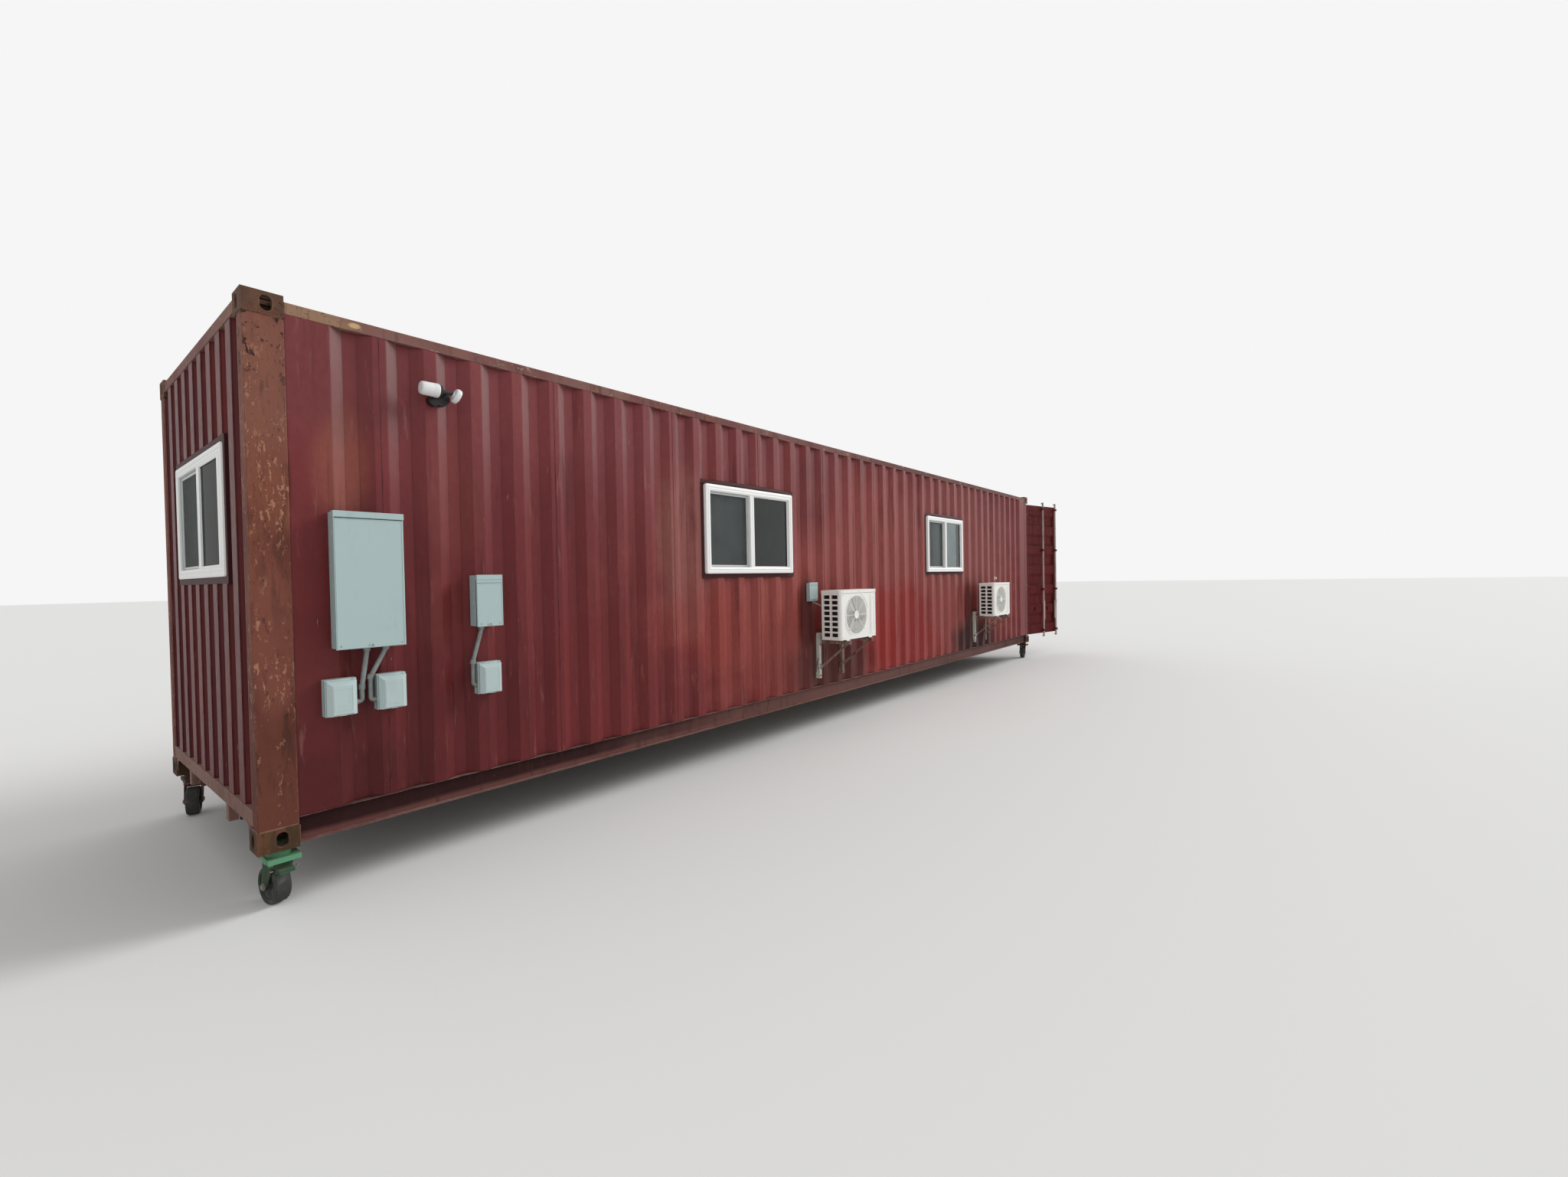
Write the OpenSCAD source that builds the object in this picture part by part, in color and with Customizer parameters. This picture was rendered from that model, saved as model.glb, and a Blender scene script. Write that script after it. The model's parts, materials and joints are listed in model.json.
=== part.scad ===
// Forty foot high-cube container turned into a cabin: windows, outdoor cooling units and
// electrical boxes on the near side, cargo doors at the far end, one caster under each corner.
// X runs from the blind end to the door end, Y from the near side inwards, Z up.
// The origin lies on the ground, under the middle of the space that the object takes up.

/* [Shell] */
// Length over the corner castings
box_l = 12192; // [11400:1:13716]
// Width over the corner castings
box_w = 2438; // [2300:1:2600]
// Height over the corner castings
box_h = 2896; // [2700:1:3000]
// How far the steelwork between the castings is set back from their outer faces
set_back = 4; // [2:1:8]
// Thickness of the corrugated wall and roof sheets
sheet_t = 2; // [1.5:0.1:4]

/* [Corner castings] */
// Length of a casting along the container
casting_l = 178; // [170:1:200]
// Width of a casting across the container
casting_w = 162; // [150:1:180]
// Height of a casting
casting_h = 118; // [110:1:130]
// Wall of a casting
casting_wall = 28; // [20:1:34]
// Wall of a casting against its post
casting_base = 16; // [12:1:20]
// Length of the slot in the top and bottom faces
slot_l = 124.5; // [110:0.5:126]
// Width of that slot
slot_w = 63.5; // [50:0.5:64]
// Slot centre from the end face
slot_x = 103.5; // [98:0.5:104]
// Slot centre from the side face
slot_y = 89.5; // [84:0.5:90]
// Height of the holes in the side and end faces
hole_h = 79.5; // [60:0.5:80]
// Width of those holes
hole_w = 51; // [40:0.5:58]

/* [Posts and rails] */
// Width of a front post seen from the end
post_w = 100; // [80:1:130]
// Plate of the posts
post_t = 6; // [4:0.5:10]
// Width of a rear post beside its door
rear_post_w = 40; // [34:1:44]
// Width of the inner lip of a rear post, behind the door
rear_lip_w = 40; // [20:1:60]
// Section of the top side rails
top_rail = 62; // [50:1:80]
// Top of the top side rails below the casting tops
top_rail_drop = 28; // [24:1:60]
// Wall of the rails, header and sill tubes
rail_t = 4; // [3:0.5:6]
// Height of the bottom side rails above the underside of the castings
low_rail_top = 156; // [140:1:170]
// Underside of the bottom side rails above the underside of the castings
low_rail_low = 16; // [5:1:30]
// Width of the top flange of a bottom side rail
low_flange = 48; // [40:1:60]
// Set-in of the web of a bottom side rail
low_web_in = 28; // [15:1:34]
// Underside of the front sill
front_sill_low = 130; // [120:1:150]
// Top of the front sill
front_sill_top = 214; // [180:1:240]
// Radius of the gussets under the ends of the front sill
gusset_r = 88; // [50:1:110]
// Width of the stub plates that hang under the front sill
stub_w = 60; // [40:1:90]
// Underside of the stub plates
stub_low = 38; // [20:1:80]

/* [Corrugation] */
// Outer flat of the side walls
side_crest = 72; // [60:1:90]
// Inner flat of the side walls
side_valley = 70; // [60:1:90]
// Width of each slope of the side walls
side_slope = 68; // [40:1:80]
// Depth of the side walls
side_depth = 36; // [25:1:44]
// Plain flat at the blind end of the side walls
side_first = 200; // [120:1:240]
// Outer flat of the front wall
end_crest = 112; // [90:1:120]
// Inner flat of the front wall
end_valley = 107; // [90:1:120]
// Width of each slope of the front wall
end_slope = 18; // [10:1:30]
// Depth of the front wall
end_depth = 45.6; // [30:0.1:50]
// Flat of the roof, top and bottom
roof_flat = 91; // [70:1:120]
// Width of each slope of the roof
roof_slope = 14; // [8:1:30]
// Depth of the troughs in the roof
roof_depth = 18; // [10:1:20]
// Plain flat at the blind end of the roof
roof_first = 160; // [100:1:200]
// Thickness of the plates that close the roof between the top castings
closing_t = 4; // [3:0.5:6]

/* [Floor] */
// Thickness of the floor boards
floor_t = 28; // [21:1:32]
// Top of the floor above the underside of the castings
floor_top = 175; // [172:1:185]
// Height of a cross member
cross_h = 122; // [90:1:126]
// Flange of a cross member
cross_w = 45; // [30:1:60]
// Plate of a cross member
cross_t = 4; // [3:0.5:6]
// Spacing of the cross members
cross_pitch = 406; // [300:1:610]
// Length of the gooseneck tunnel
tunnel_l = 3315; // [3000:1:3500]
// Clear width of the tunnel
tunnel_w = 1029; // [900:1:1100]
// Height of the tunnel above the underside of the castings
tunnel_h = 120; // [100:1:124]
// Plate of the tunnel
tunnel_t = 4; // [3:0.5:8]

/* [Windows] */
// Width of the two side windows over their frames
side_win_w = 1260; // [900:1:1400]
// Height of the side windows over their frames
side_win_h = 812; // [600:1:1000]
// Underside of the side windows above the castings' underside
side_win_z = 1426; // [1200:1:1600]
// Left edge of the first side window from the blind end
win_1_x = 3198; // [2600:1:3400]
// Left edge of the second side window from the blind end
win_2_x = 7648; // [7200:1:7900]
// Width of the end window over its frame
end_win_w = 1380; // [1000:1:1600]
// Height of the end window over its frame
end_win_h = 752; // [600:1:900]
// Underside of the end window above the castings' underside
end_win_z = 1440; // [1200:1:1600]
// Visible width of the steel surround round each frame
surround_w = 40; // [25:1:60]
// Depth of the steel surrounds
surround_d = 50; // [40:1:70]
// Visible width of the white frame
frame_w = 58; // [40:1:80]
// Lap of the frame over its surround
frame_lap = 12; // [6:1:18]
// How far the side window frames stand out of the wall
frame_proud = 24; // [10:1:40]
// Width of the mullion
mullion_w = 52; // [30:1:70]
// Border of the sliding sash
sash_w = 26; // [15:1:40]
// Depth of the sliding sash
sash_d = 18; // [12:1:20]
// Thickness of the glass
glass_t = 5; // [3:1:8]
// Radius of the frame's outer corners
frame_r = 18; // [5:1:30]

/* [Cargo doors] */
// Door angle at rest, counted from closed
door_rest = 103; // [90:1:180]
// Hinge pin from the outer face of the door end
pin_in = 30; // [28:1:34]
// Hinge pin from the side of the container
pin_side = 20; // [20:1:24]
// Outer face of a closed leaf from the outer face of the door end
leaf_in = 60; // [58:1:64]
// Thickness of a leaf
leaf_t = 50; // [40:1:52]
// Gap between a leaf and the frame round it
leaf_gap = 8; // [6:1:12]
// Height of the door sill
sill_h = 116; // [90:1:120]
// Height of the door header
header_h = 100; // [80:1:120]
// Depth of the door sill and header
sill_d = 88; // [60:1:100]
// Width of the bars round a leaf
bar_w = 100; // [70:1:130]
// Depth of the pressings in a leaf
press_d = 30; // [20:1:36]
// Number of pressings in a leaf
press_n = 6; // [5:1:7]
// Thickness of the door sheet
door_sheet = 3; // [2:0.5:5]
// Number of hinges on a leaf
hinge_n = 4; // [3:1:5]
// Radius of the hinge pins
pin_r = 10; // [8:1:12]
// Radius of a hinge knuckle
knuckle_r = 18; // [16:1:20]
// Height of a hinge knuckle
knuckle_h = 60; // [40:1:90]
// Height of the lug above and below a knuckle
lug_h = 16; // [10:1:25]
// Reach of a hinge strap over the leaf
strap_l = 150; // [100:1:200]
// Thickness of the strip of rubber round a leaf
seal_t = 7; // [4:1:7]
// Radius of a lock rod
rod_r = 17; // [14:1:18]
// Distance of the lock rods' middle from the face of the leaf
rod_out = 38; // [34:1:42]
// First lock rod from the hinge pin
rod_1_w = 620; // [500:1:700]
// Second lock rod from the hinge pin
rod_2_w = 1100; // [1000:1:1120]
// Length of a rod's handle, which hangs down from its hub
handle_l = 370; // [300:1:400]
// Hub of the handles above the castings' underside
handle_z = 780; // [720:1:850]
// Distance of a handle's catch from its rod
catch_w = 270; // [200:1:300]

/* [Casters] */
// Height of the castings' underside above the ground
lift = 305; // [290:1:340]
// Radius of a wheel
wheel_r = 100; // [85:1:105]
// Width of a wheel
wheel_w = 74; // [50:1:80]
// Distance of the axle from the swivel
trail = 50; // [30:1:60]
// Height of the block between casting and plate
block_h = 36; // [20:1:60]
// Thickness of the top plate
plate_t = 26; // [8:1:30]
// Length of the top plate
plate_l = 142; // [120:1:160]
// Width of the top plate
plate_w = 176; // [120:1:178]
// Shift of the top plate towards the middle of the container
plate_in = 8; // [0:1:15]
// Thickness of the fork's legs
leg_t = 9; // [6:1:12]
// Gap between wheel and fork
wheel_gap = 6; // [5:1:10]
// Radius of the axle
axle_r = 10; // [8:1:14]
// Length, width and thickness of the brake lug
brake_l = 48; // [20:1:60]
brake_w = 70; // [40:1:80]
brake_t = 22; // [10:1:26]
// Rest directions of the four casters: near left, far left, near right, far right
turn_1 = 100; // [0:5:355]
turn_2 = 255; // [0:5:355]
turn_3 = 190; // [0:5:355]
turn_4 = 190; // [0:5:355]

/* [Cooling units] */
// Width of a unit
unit_w = 738; // [600:1:900]
// Depth of a unit
unit_d = 244; // [200:1:320]
// Height of a unit above its feet
unit_h = 532; // [450:1:650]
// Radius of a unit's front corners
unit_corner = 28; // [10:1:34]
// Height of a unit's lid
lid_h = 34; // [20:1:50]
// Reach of the lid over the casing
lid_out = 3; // [1:0.5:6]
// Height of the feet
foot_h = 12; // [6:1:25]
// Back of a unit from the side of the container
unit_back = 158; // [120:1:200]
// Left edge of the first unit
unit_1_x = 4770; // [4500:1:4900]
// Left edge of the second unit
unit_2_x = 9215; // [9000:1:9300]
// Underside of the feet above the castings' underside
unit_z = 688; // [600:1:760]
// Fan centre from the left edge
fan_x = 312; // [300:1:330]
// Radius of the fan opening
fan_r = 214; // [180:1:225]
// Depth of the fan opening
fan_depth = 120; // [80:1:150]
// Sheet of the unit's casing in front of the fan
guard_t = 3; // [2:0.5:5]
// Gap between the rings of the guard
ring_gap = 20; // [14:1:30]
// Thickness of the guard's wires
wire_t = 4; // [3:0.5:6]
// Width, height, depth, pitch and number of the vents in the left side
vent_w = 80; // [60:1:90]
vent_h = 40; // [30:1:44]
vent_depth = 28; // [10:1:40]
vent_pitch = 58; // [52:1:60]
vent_n = 8; // [6:1:8]
// Radius of the guard's middle disc
disc_r = 45; // [30:1:60]
// Radius of the first unit's power cable
whip_r = 8; // [6:1:10]
// Width of the square tube of a bracket
bracket_s = 40; // [30:1:50]
// Underside of a bracket's upright
bracket_low = 255; // [200:1:400]
// First bracket from the left edge of a unit
bracket_x = 117; // [80:1:140]
// Distance between the two brackets of a unit
bracket_gap = 458; // [400:1:500]
// Cross rail of the brackets above the underside of the feet
rail_up = 30; // [10:1:100]

/* [Electrical boxes] */
// Main panel: left edge, width, depth, underside and height
main_x = 345; // [300:1:360]
main_w = 334; // [250:1:400]
main_d = 102; // [80:1:150]
main_z = 1032; // [980:1:1100]
main_h = 747; // [600:1:900]
// Second panel: left edge, width, depth, underside and height
sub_x = 1102; // [1050:1:1150]
sub_w = 160; // [120:1:200]
sub_d = 104; // [80:1:150]
sub_z = 1103; // [1050:1:1200]
sub_h = 324; // [250:1:400]
// Left edges of the three outlet boxes
outlet_1_x = 293; // [270:1:300]
outlet_2_x = 544; // [540:1:560]
outlet_3_x = 1116; // [1110:1:1140]
// Width, height, depth and underside of an outlet box
outlet_w = 148; // [120:1:180]
outlet_h = 200; // [160:1:240]
outlet_d = 96; // [70:1:130]
// Depth of an outlet's cover
cover_d = 42; // [30:1:50]
// Width of the slopes round the front of a cover
cover_slope = 24; // [10:1:34]
// Radius of a cover's hinge
barrel_r = 7; // [4:1:10]
outlet_z = 667; // [620:1:700]
// Radius of the conduits
conduit_r = 13; // [10:1:15]
// Middle of the conduits in front of the wall
conduit_out = 30; // [20:1:40]
// Radius of the conduits' bends
conduit_bend = 17; // [16:1:19]
// Radius of the conduits' fittings
fitting_r = 17; // [16:1:18]
// Length of those fittings
fitting_l = 28; // [20:1:34]
// Disconnect box: left edge, width, depth, underside and height
switch_x = 4721; // [4700:1:4740]
switch_w = 144; // [120:1:160]
switch_d = 48; // [40:1:60]
switch_z = 1115; // [1050:1:1200]
switch_h = 198; // [150:1:250]

/* [Security lamp] */
// Middle of the lamp's base from the blind end
lamp_x = 948; // [900:1:980]
// Middle of the lamp's base below the top of the side rails
lamp_drop = 350; // [300:1:500]
// Radius of the lamp's base
lamp_base_r = 46; // [40:1:55]
// Middle of the lamp's heads in front of the wall
lamp_out = 92; // [80:1:110]
// Radius and length of the left head
left_head_r = 44; // [38:1:50]
left_head_l = 116; // [100:1:130]
// Radius and length of the right head
right_head_r = 48; // [40:1:52]
right_head_l = 46; // [36:1:56]
// How far the right head looks down
right_head_dip = 22; // [0:1:40]

/* [Hidden] */
$fn = 48;
// Overrun of a cut past the face that it opens
over = 1;
// Running clearance of pins in their bores
run = 0.1;

post_h = box_h - 2 * casting_h;
rail_top_z = box_h - top_rail_drop;
rail_low_z = rail_top_z - top_rail;
wall_y = set_back + 2;
side_run = box_l - 2 * casting_l;
side_pitch = side_crest + side_valley + 2 * side_slope;
end_pitch = end_crest + end_valley + 2 * end_slope;
end_run = box_w - 2 * (set_back + post_w);
end_n = floor((end_run + end_crest) / end_pitch);
end_first = (end_run - end_n * end_pitch + end_crest) / 2;
end_x = set_back + 4;
roof_pitch = 2 * (roof_flat + roof_slope);
// Gap between the castings and the sheets beside them
casting_gap = 3;

// Rear frame and doors, measured from the door end
rear_face = leaf_in + 2;
rear_post_in = leaf_in + leaf_gap;
leaf_low = low_rail_low + sill_h + leaf_gap;
header_top = rail_top_z;
leaf_high = header_top - header_h - leaf_gap;
leaf_h = leaf_high - leaf_low;
leaf_from = set_back + rear_post_w + 6 - pin_side;
leaf_to = box_w / 2 - 6 - pin_side;
leaf_w = leaf_to - leaf_from;
leaf_n = pin_in - leaf_in;
rod_n = leaf_n + rod_out;
pin_x = box_l - pin_in;
hinge_step = (leaf_h - 500) / (hinge_n - 1);
press_step = (leaf_h - 2 * bar_w) / press_n;
rod_guides = [leaf_low + 60, leaf_low + bar_w + 2 * press_step,
    leaf_low + bar_w + 4 * press_step, leaf_high - 60];
rod_low = leaf_low - 70;
rod_high = leaf_high + 70;

tunnel_from = set_back + end_depth + 14;

fan_z = foot_h + unit_h / 2 - 6;
unit_front = unit_back + unit_d;
axle_z = wheel_r - lift;
crown_top = -(block_h + plate_t + 1);
crown_low = axle_z + wheel_r + wheel_gap;
wheel_y = wheel_w / 2 + wheel_gap;

// Half the length of the lamp's arm and its height above the middle of the base
lamp_head_in = 40;
lamp_arm_up = 26;

// Space taken up by the whole object
reach_x = pin_x + leaf_to * sin(door_rest) - (leaf_n - leaf_t) * abs(cos(door_rest)) * sign(door_rest - 90);
swing_out = leaf_to * abs(cos(door_rest)) - pin_side + (rod_n + rod_r) * sin(door_rest);
mid_x = reach_x / 2;
mid_y = (box_w + swing_out - (unit_front + guard_t)) / 2;

// The whole object is drawn from the near left casting, then set on the ground
module placed() {
    translate([-mid_x, -mid_y, lift]) children();
}

module mirrored_y() {
    children();
    translate([0, box_w, 0]) mirror([0, 1, 0]) children();
}

module mirrored_x() {
    children();
    translate([box_l, 0, 0]) mirror([1, 0, 0]) children();
}

module far_side() {
    translate([0, box_w, 0]) mirror([0, 1, 0]) children();
}

module slot(l, w, h) {
    linear_extrude(h) {
        square([l - w, w], center = true);
        for (s = [-1, 1]) translate([s * (l - w) / 2, 0]) circle(d = w);
    }
}

// Edge of a pressed sheet that runs along its first axis, with its outer flats at zero
function pressed(run_l, first, crest, valley, slope, depth, n) = concat(
    [[0, 0], [first, 0]],
    [for (k = [0 : n - 1], i = [0 : 3])
        let (s = first + k * (crest + valley + 2 * slope))
        if (i < 3 || k < n - 1)
        [[s + slope, depth], [s + slope + valley, depth], [s + 2 * slope + valley, 0],
            [s + crest + valley + 2 * slope, 0]][i]],
    [[run_l, 0]]
);

function thick(edge, t) = concat(edge, [for (i = [len(edge) - 1 : -1 : 0]) edge[i] + [0, t]]);

function count(run_l, first, crest, pitch) = floor((run_l - first + crest) / pitch - 0.2);

module casting() {
    difference() {
        cube([casting_l, casting_w, casting_h]);
        translate([casting_wall, casting_wall, casting_wall])
            cube([casting_l - 2 * casting_wall, casting_w - 2 * casting_wall,
                casting_h - casting_wall - casting_base]);
        translate([slot_x, slot_y, -over]) slot(slot_l, slot_w, casting_wall + 2 * over);
        translate([slot_x, casting_wall + over, casting_h / 2]) rotate([90, 90, 0])
            slot(hole_h, hole_w, casting_wall + 2 * over);
        translate([-over, slot_y, casting_h / 2]) rotate([90, 90, 90])
            slot(hole_h, hole_w, casting_wall + 2 * over);
    }
}

module top_corner_castings() {
    color([0.42, 0.25, 0.2])
        mirrored_x() mirrored_y() translate([0, 0, box_h]) mirror([0, 0, 1]) casting();
}

module under_corner_castings() {
    color([0.42, 0.25, 0.2]) mirrored_x() mirrored_y() casting();
}

module front_corner_posts() {
    size = [casting_l - set_back, post_w, post_h];
    color([0.45, 0.27, 0.2]) mirrored_y() translate([set_back, set_back, casting_h])
        difference() {
            cube(size);
            translate([post_t, post_t, -over])
                cube(size + [-2 * post_t, -2 * post_t, 2 * over]);
        }
}

module hinge_levels() {
    for (i = [0 : hinge_n - 1]) translate([0, 0, leaf_low + 250 + i * hinge_step]) children();
}

module rear_corner_posts() {
    deep = casting_l - rear_post_in;
    color([0.4, 0.2, 0.17]) mirrored_y() {
        translate([box_l - casting_l, set_back, casting_h]) difference() {
            union() {
                cube([deep, rear_post_w, post_h]);
                cube([deep - leaf_t - 4, rear_post_w + rear_lip_w, post_h]);
            }
            translate([post_t, post_t, -over])
                cube([deep - 2 * post_t, rear_post_w - 2 * post_t, post_h + 2 * over]);
            translate([post_t, rear_post_w, -over])
                cube([deep - leaf_t - 4 - 2 * post_t, rear_lip_w - post_t, post_h + 2 * over]);
        }
        translate([pin_x, pin_side, 0]) hinge_levels() {
            for (z = [-knuckle_h / 2 - lug_h - 1, knuckle_h / 2 + 1]) translate([0, 0, z]) {
                cylinder(r = knuckle_r - 2, h = lug_h);
                translate([pin_in - rear_post_in, 2 - knuckle_r, 0])
                    cube([rear_post_in - pin_in, 2 * knuckle_r - 4, lug_h]);
            }
            translate([0, 0, -knuckle_h / 2 - lug_h - 6])
                cylinder(r = pin_r, h = knuckle_h + 2 * lug_h + 12);
        }
    }
}

module top_side_rails() {
    color([0.5, 0.28, 0.25]) mirrored_y() translate([casting_l, set_back, rail_low_z])
        difference() {
            cube([side_run, top_rail, top_rail]);
            translate([-over, rail_t, rail_t])
                cube([side_run + 2 * over, top_rail - 2 * rail_t, top_rail - 2 * rail_t]);
        }
}

module bottom_side_rails() {
    color([0.42, 0.2, 0.19]) mirrored_y() translate([casting_l, set_back, low_rail_low])
        rotate([90, 0, 90]) linear_extrude(side_run) union() {
            translate([0, low_rail_top - low_rail_low - rail_t]) square([low_flange, rail_t]);
            translate([low_web_in, 0]) square([rail_t, low_rail_top - low_rail_low]);
            square([low_web_in + rail_t, rail_t]);
        }
}

// Plate over a header that closes the roof between the top castings
module closing_plate(from, to) {
    translate([from, casting_w + casting_gap, rail_top_z])
        cube([to - from, box_w - 2 * (casting_w + casting_gap), closing_t]);
}

module front_header() {
    color([0.42, 0.2, 0.19]) {
        translate([set_back, casting_w, rail_low_z]) difference() {
            cube([top_rail, box_w - 2 * casting_w, top_rail]);
            translate([rail_t, -over, rail_t])
                cube([top_rail - 2 * rail_t, box_w - 2 * casting_w + 2 * over, top_rail - 2 * rail_t]);
        }
        closing_plate(set_back, casting_l + casting_gap);
    }
}

module front_sill() {
    size = [end_depth + 14, box_w - 2 * (set_back + post_w), front_sill_top - front_sill_low];
    color([0.45, 0.26, 0.23]) translate([set_back, set_back + post_w, front_sill_low])
        difference() {
            cube(size);
            translate([post_t, -over, post_t]) cube(size + [-2 * post_t, 2 * over, -2 * post_t]);
        }
}

// Curved gussets beside the castings and stub plates beside the tunnel
module sill_plates() {
    color([0.45, 0.26, 0.23]) mirrored_y() translate([set_back, 0, 0]) {
        difference() {
            translate([0, casting_w, front_sill_low - gusset_r])
                cube([post_t, gusset_r, gusset_r]);
            translate([-over, casting_w + gusset_r, front_sill_low - gusset_r])
                rotate([0, 90, 0]) cylinder(r = gusset_r, h = post_t + 2 * over);
        }
        translate([0, (box_w - tunnel_w) / 2 - stub_w, stub_low])
            cube([end_depth, stub_w, front_sill_low - stub_low]);
    }
}

module door_header() {
    color([0.4, 0.18, 0.17]) {
        difference() {
            translate([box_l - rear_face - sill_d, casting_w, header_top - header_h])
                cube([sill_d, box_w - 2 * casting_w, header_h]);
            translate([box_l - rear_face - sill_d + rail_t, casting_w - over,
                header_top - header_h + rail_t])
                cube([sill_d - 2 * rail_t, box_w - 2 * casting_w + 2 * over, header_h - 2 * rail_t]);
        }
        closing_plate(box_l - casting_l - casting_gap, box_l - rear_face);
    }
}

module door_sill() {
    color([0.42, 0.2, 0.18]) difference() {
        translate([box_l - rear_face - sill_d, casting_w, low_rail_low])
            cube([sill_d, box_w - 2 * casting_w, sill_h]);
        translate([box_l - rear_face - sill_d + rail_t, casting_w - over, low_rail_low + rail_t])
            cube([sill_d - 2 * rail_t, box_w - 2 * casting_w + 2 * over, sill_h - 2 * rail_t]);
    }
}

// One lug beside each end of a lock rod, on the side that its cam does not swing to
module door_keepers() {
    lug = [20, 10, 50];
    color([0.4, 0.19, 0.17]) mirrored_y() for (z = [rod_low - 24, rod_high - 28])
        translate([box_l - rear_face, pin_side, z]) {
            translate([0, rod_1_w - 30, 0]) cube(lug);
            translate([0, rod_2_w + 20, 0]) cube(lug);
        }
}

module side_sheet() {
    n = count(side_run, side_first, side_crest, side_pitch);
    translate([casting_l, wall_y, low_rail_top]) linear_extrude(rail_low_z - low_rail_top)
        polygon(thick(pressed(side_run, side_first, side_crest, side_valley, side_slope,
            side_depth, n), sheet_t));
}

// Cut through a side wall for a window and its surround
module side_opening(x) {
    translate([x - surround_w, -over, side_win_z - surround_w])
        cube([side_win_w + 2 * surround_w, 200, side_win_h + 2 * surround_w]);
}

module near_side_wall() {
    color([0.43, 0.17, 0.17]) difference() {
        side_sheet();
        side_opening(win_1_x);
        side_opening(win_2_x);
    }
}

module far_side_wall() {
    color([0.43, 0.17, 0.17]) far_side() side_sheet();
}

module front_end_wall() {
    edge = pressed(end_run, end_first, end_crest, end_valley, end_slope, end_depth, end_n);
    color([0.43, 0.18, 0.18]) difference() {
        translate([end_x, set_back + post_w, front_sill_top])
            linear_extrude(rail_low_z - front_sill_top)
            polygon([for (p = thick(edge, sheet_t)) [p[1], p[0]]]);
        mirrored_y() translate([-over, -over, box_h - casting_h])
            cube([casting_l, casting_w + over, casting_h]);
        translate([-over, (box_w - end_win_w) / 2 - surround_w, end_win_z - surround_w])
            cube([200, end_win_w + 2 * surround_w, end_win_h + 2 * surround_w]);
    }
}

// Roof between the castings, with troughs pressed down from the level of its edges
module roof_sheet() {
    edge_w = set_back + top_rail + 12;
    from = casting_l + casting_gap;
    run_l = box_l - 2 * from;
    run_w = box_w - 2 * edge_w;
    n = count(run_l, roof_first, roof_flat, roof_pitch);
    edge = pressed(run_l, roof_first, roof_flat, roof_flat, roof_slope, roof_depth, n);
    color([0.4, 0.2, 0.2]) translate([from, 0, rail_top_z]) {
        mirrored_y() translate([0, set_back + 10, 0])
            cube([run_l, edge_w - set_back - 10, sheet_t]);
        translate([0, box_w - edge_w, 0]) rotate([90, 0, 0]) {
            linear_extrude(run_w) polygon([for (p = thick(edge, sheet_t)) [p[0], sheet_t - p[1]]]);
            // Sheet that closes the ends of the troughs
            for (y = [0, run_w - sheet_t]) translate([0, 0, y]) linear_extrude(sheet_t)
                polygon(concat([for (p = edge) [p[0], -p[1]]], [[run_l, sheet_t], [0, sheet_t]]));
        }
    }
}

module floor_boards() {
    edge = set_back + low_flange + 2;
    color([0.35, 0.26, 0.18]) difference() {
        translate([tunnel_from + 2, edge, floor_top - floor_t])
            cube([box_l - rear_face - sill_d - tunnel_from - 4, box_w - 2 * edge, floor_t]);
        mirrored_y() {
            translate([-over, -over, 0])
                cube([casting_l + 2 + over, set_back + post_w + 2 + over, box_h]);
            translate([box_l - casting_l - 2, -over, 0])
                cube([casting_l, set_back + rear_post_w + rear_lip_w + 2 + over, box_h]);
        }
    }
}

module channel(l) {
    rotate([90, 0, 90]) linear_extrude(l) difference() {
        square([cross_w, cross_h]);
        translate([cross_t, cross_t]) square([cross_w, cross_h - 2 * cross_t]);
    }
}

module cross_members() {
    low = floor_top - floor_t - cross_h;
    web = set_back + low_web_in + rail_t;
    last = box_l - casting_l - 60;
    n = floor((last - tunnel_l) / cross_pitch);
    step = (last - tunnel_l - 60) / n;
    half = (box_w - tunnel_w) / 2 - tunnel_t - web;
    m = floor((tunnel_l - casting_l) / cross_pitch);
    color([0.15, 0.14, 0.14]) {
        for (i = [0 : n]) translate([tunnel_l + 60 + i * step, web, low]) rotate([0, 0, 90])
            channel(box_w - 2 * web);
        mirrored_y() for (i = [0 : m - 1])
            translate([casting_l + 120 + i * (tunnel_l - casting_l) / m, web, low])
            rotate([0, 0, 90]) channel(half);
    }
}

// Top plate of the gooseneck tunnel with the bows that carry the floor over it
module tunnel_plate() {
    bows = 8;
    bow_w = 60;
    color([0.18, 0.15, 0.15]) translate([tunnel_from, (box_w - tunnel_w) / 2, tunnel_h]) {
        cube([tunnel_l - tunnel_from, tunnel_w, tunnel_t]);
        for (i = [0 : bows])
            translate([30 + i * (tunnel_l - tunnel_from - 60 - bow_w) / bows, 0, 0])
            cube([bow_w, tunnel_w, floor_top - floor_t - tunnel_h]);
    }
}

module tunnel_sides() {
    color([0.18, 0.15, 0.15]) mirrored_y()
        translate([tunnel_from, (box_w - tunnel_w) / 2 - tunnel_t, low_rail_low])
        cube([tunnel_l - tunnel_from, tunnel_t, floor_top - floor_t - low_rail_low]);
}

module side_ring(x, z, w, h, border, d) {
    translate([x, 0, z]) difference() {
        cube([w, d, h]);
        translate([border, -over, border]) cube([w - 2 * border, d + 2 * over, h - 2 * border]);
    }
}

// Puts a window drawn on the near side onto the end wall
module on_end() {
    translate([0, box_w, 0]) rotate([0, 0, -90]) children();
}

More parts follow.
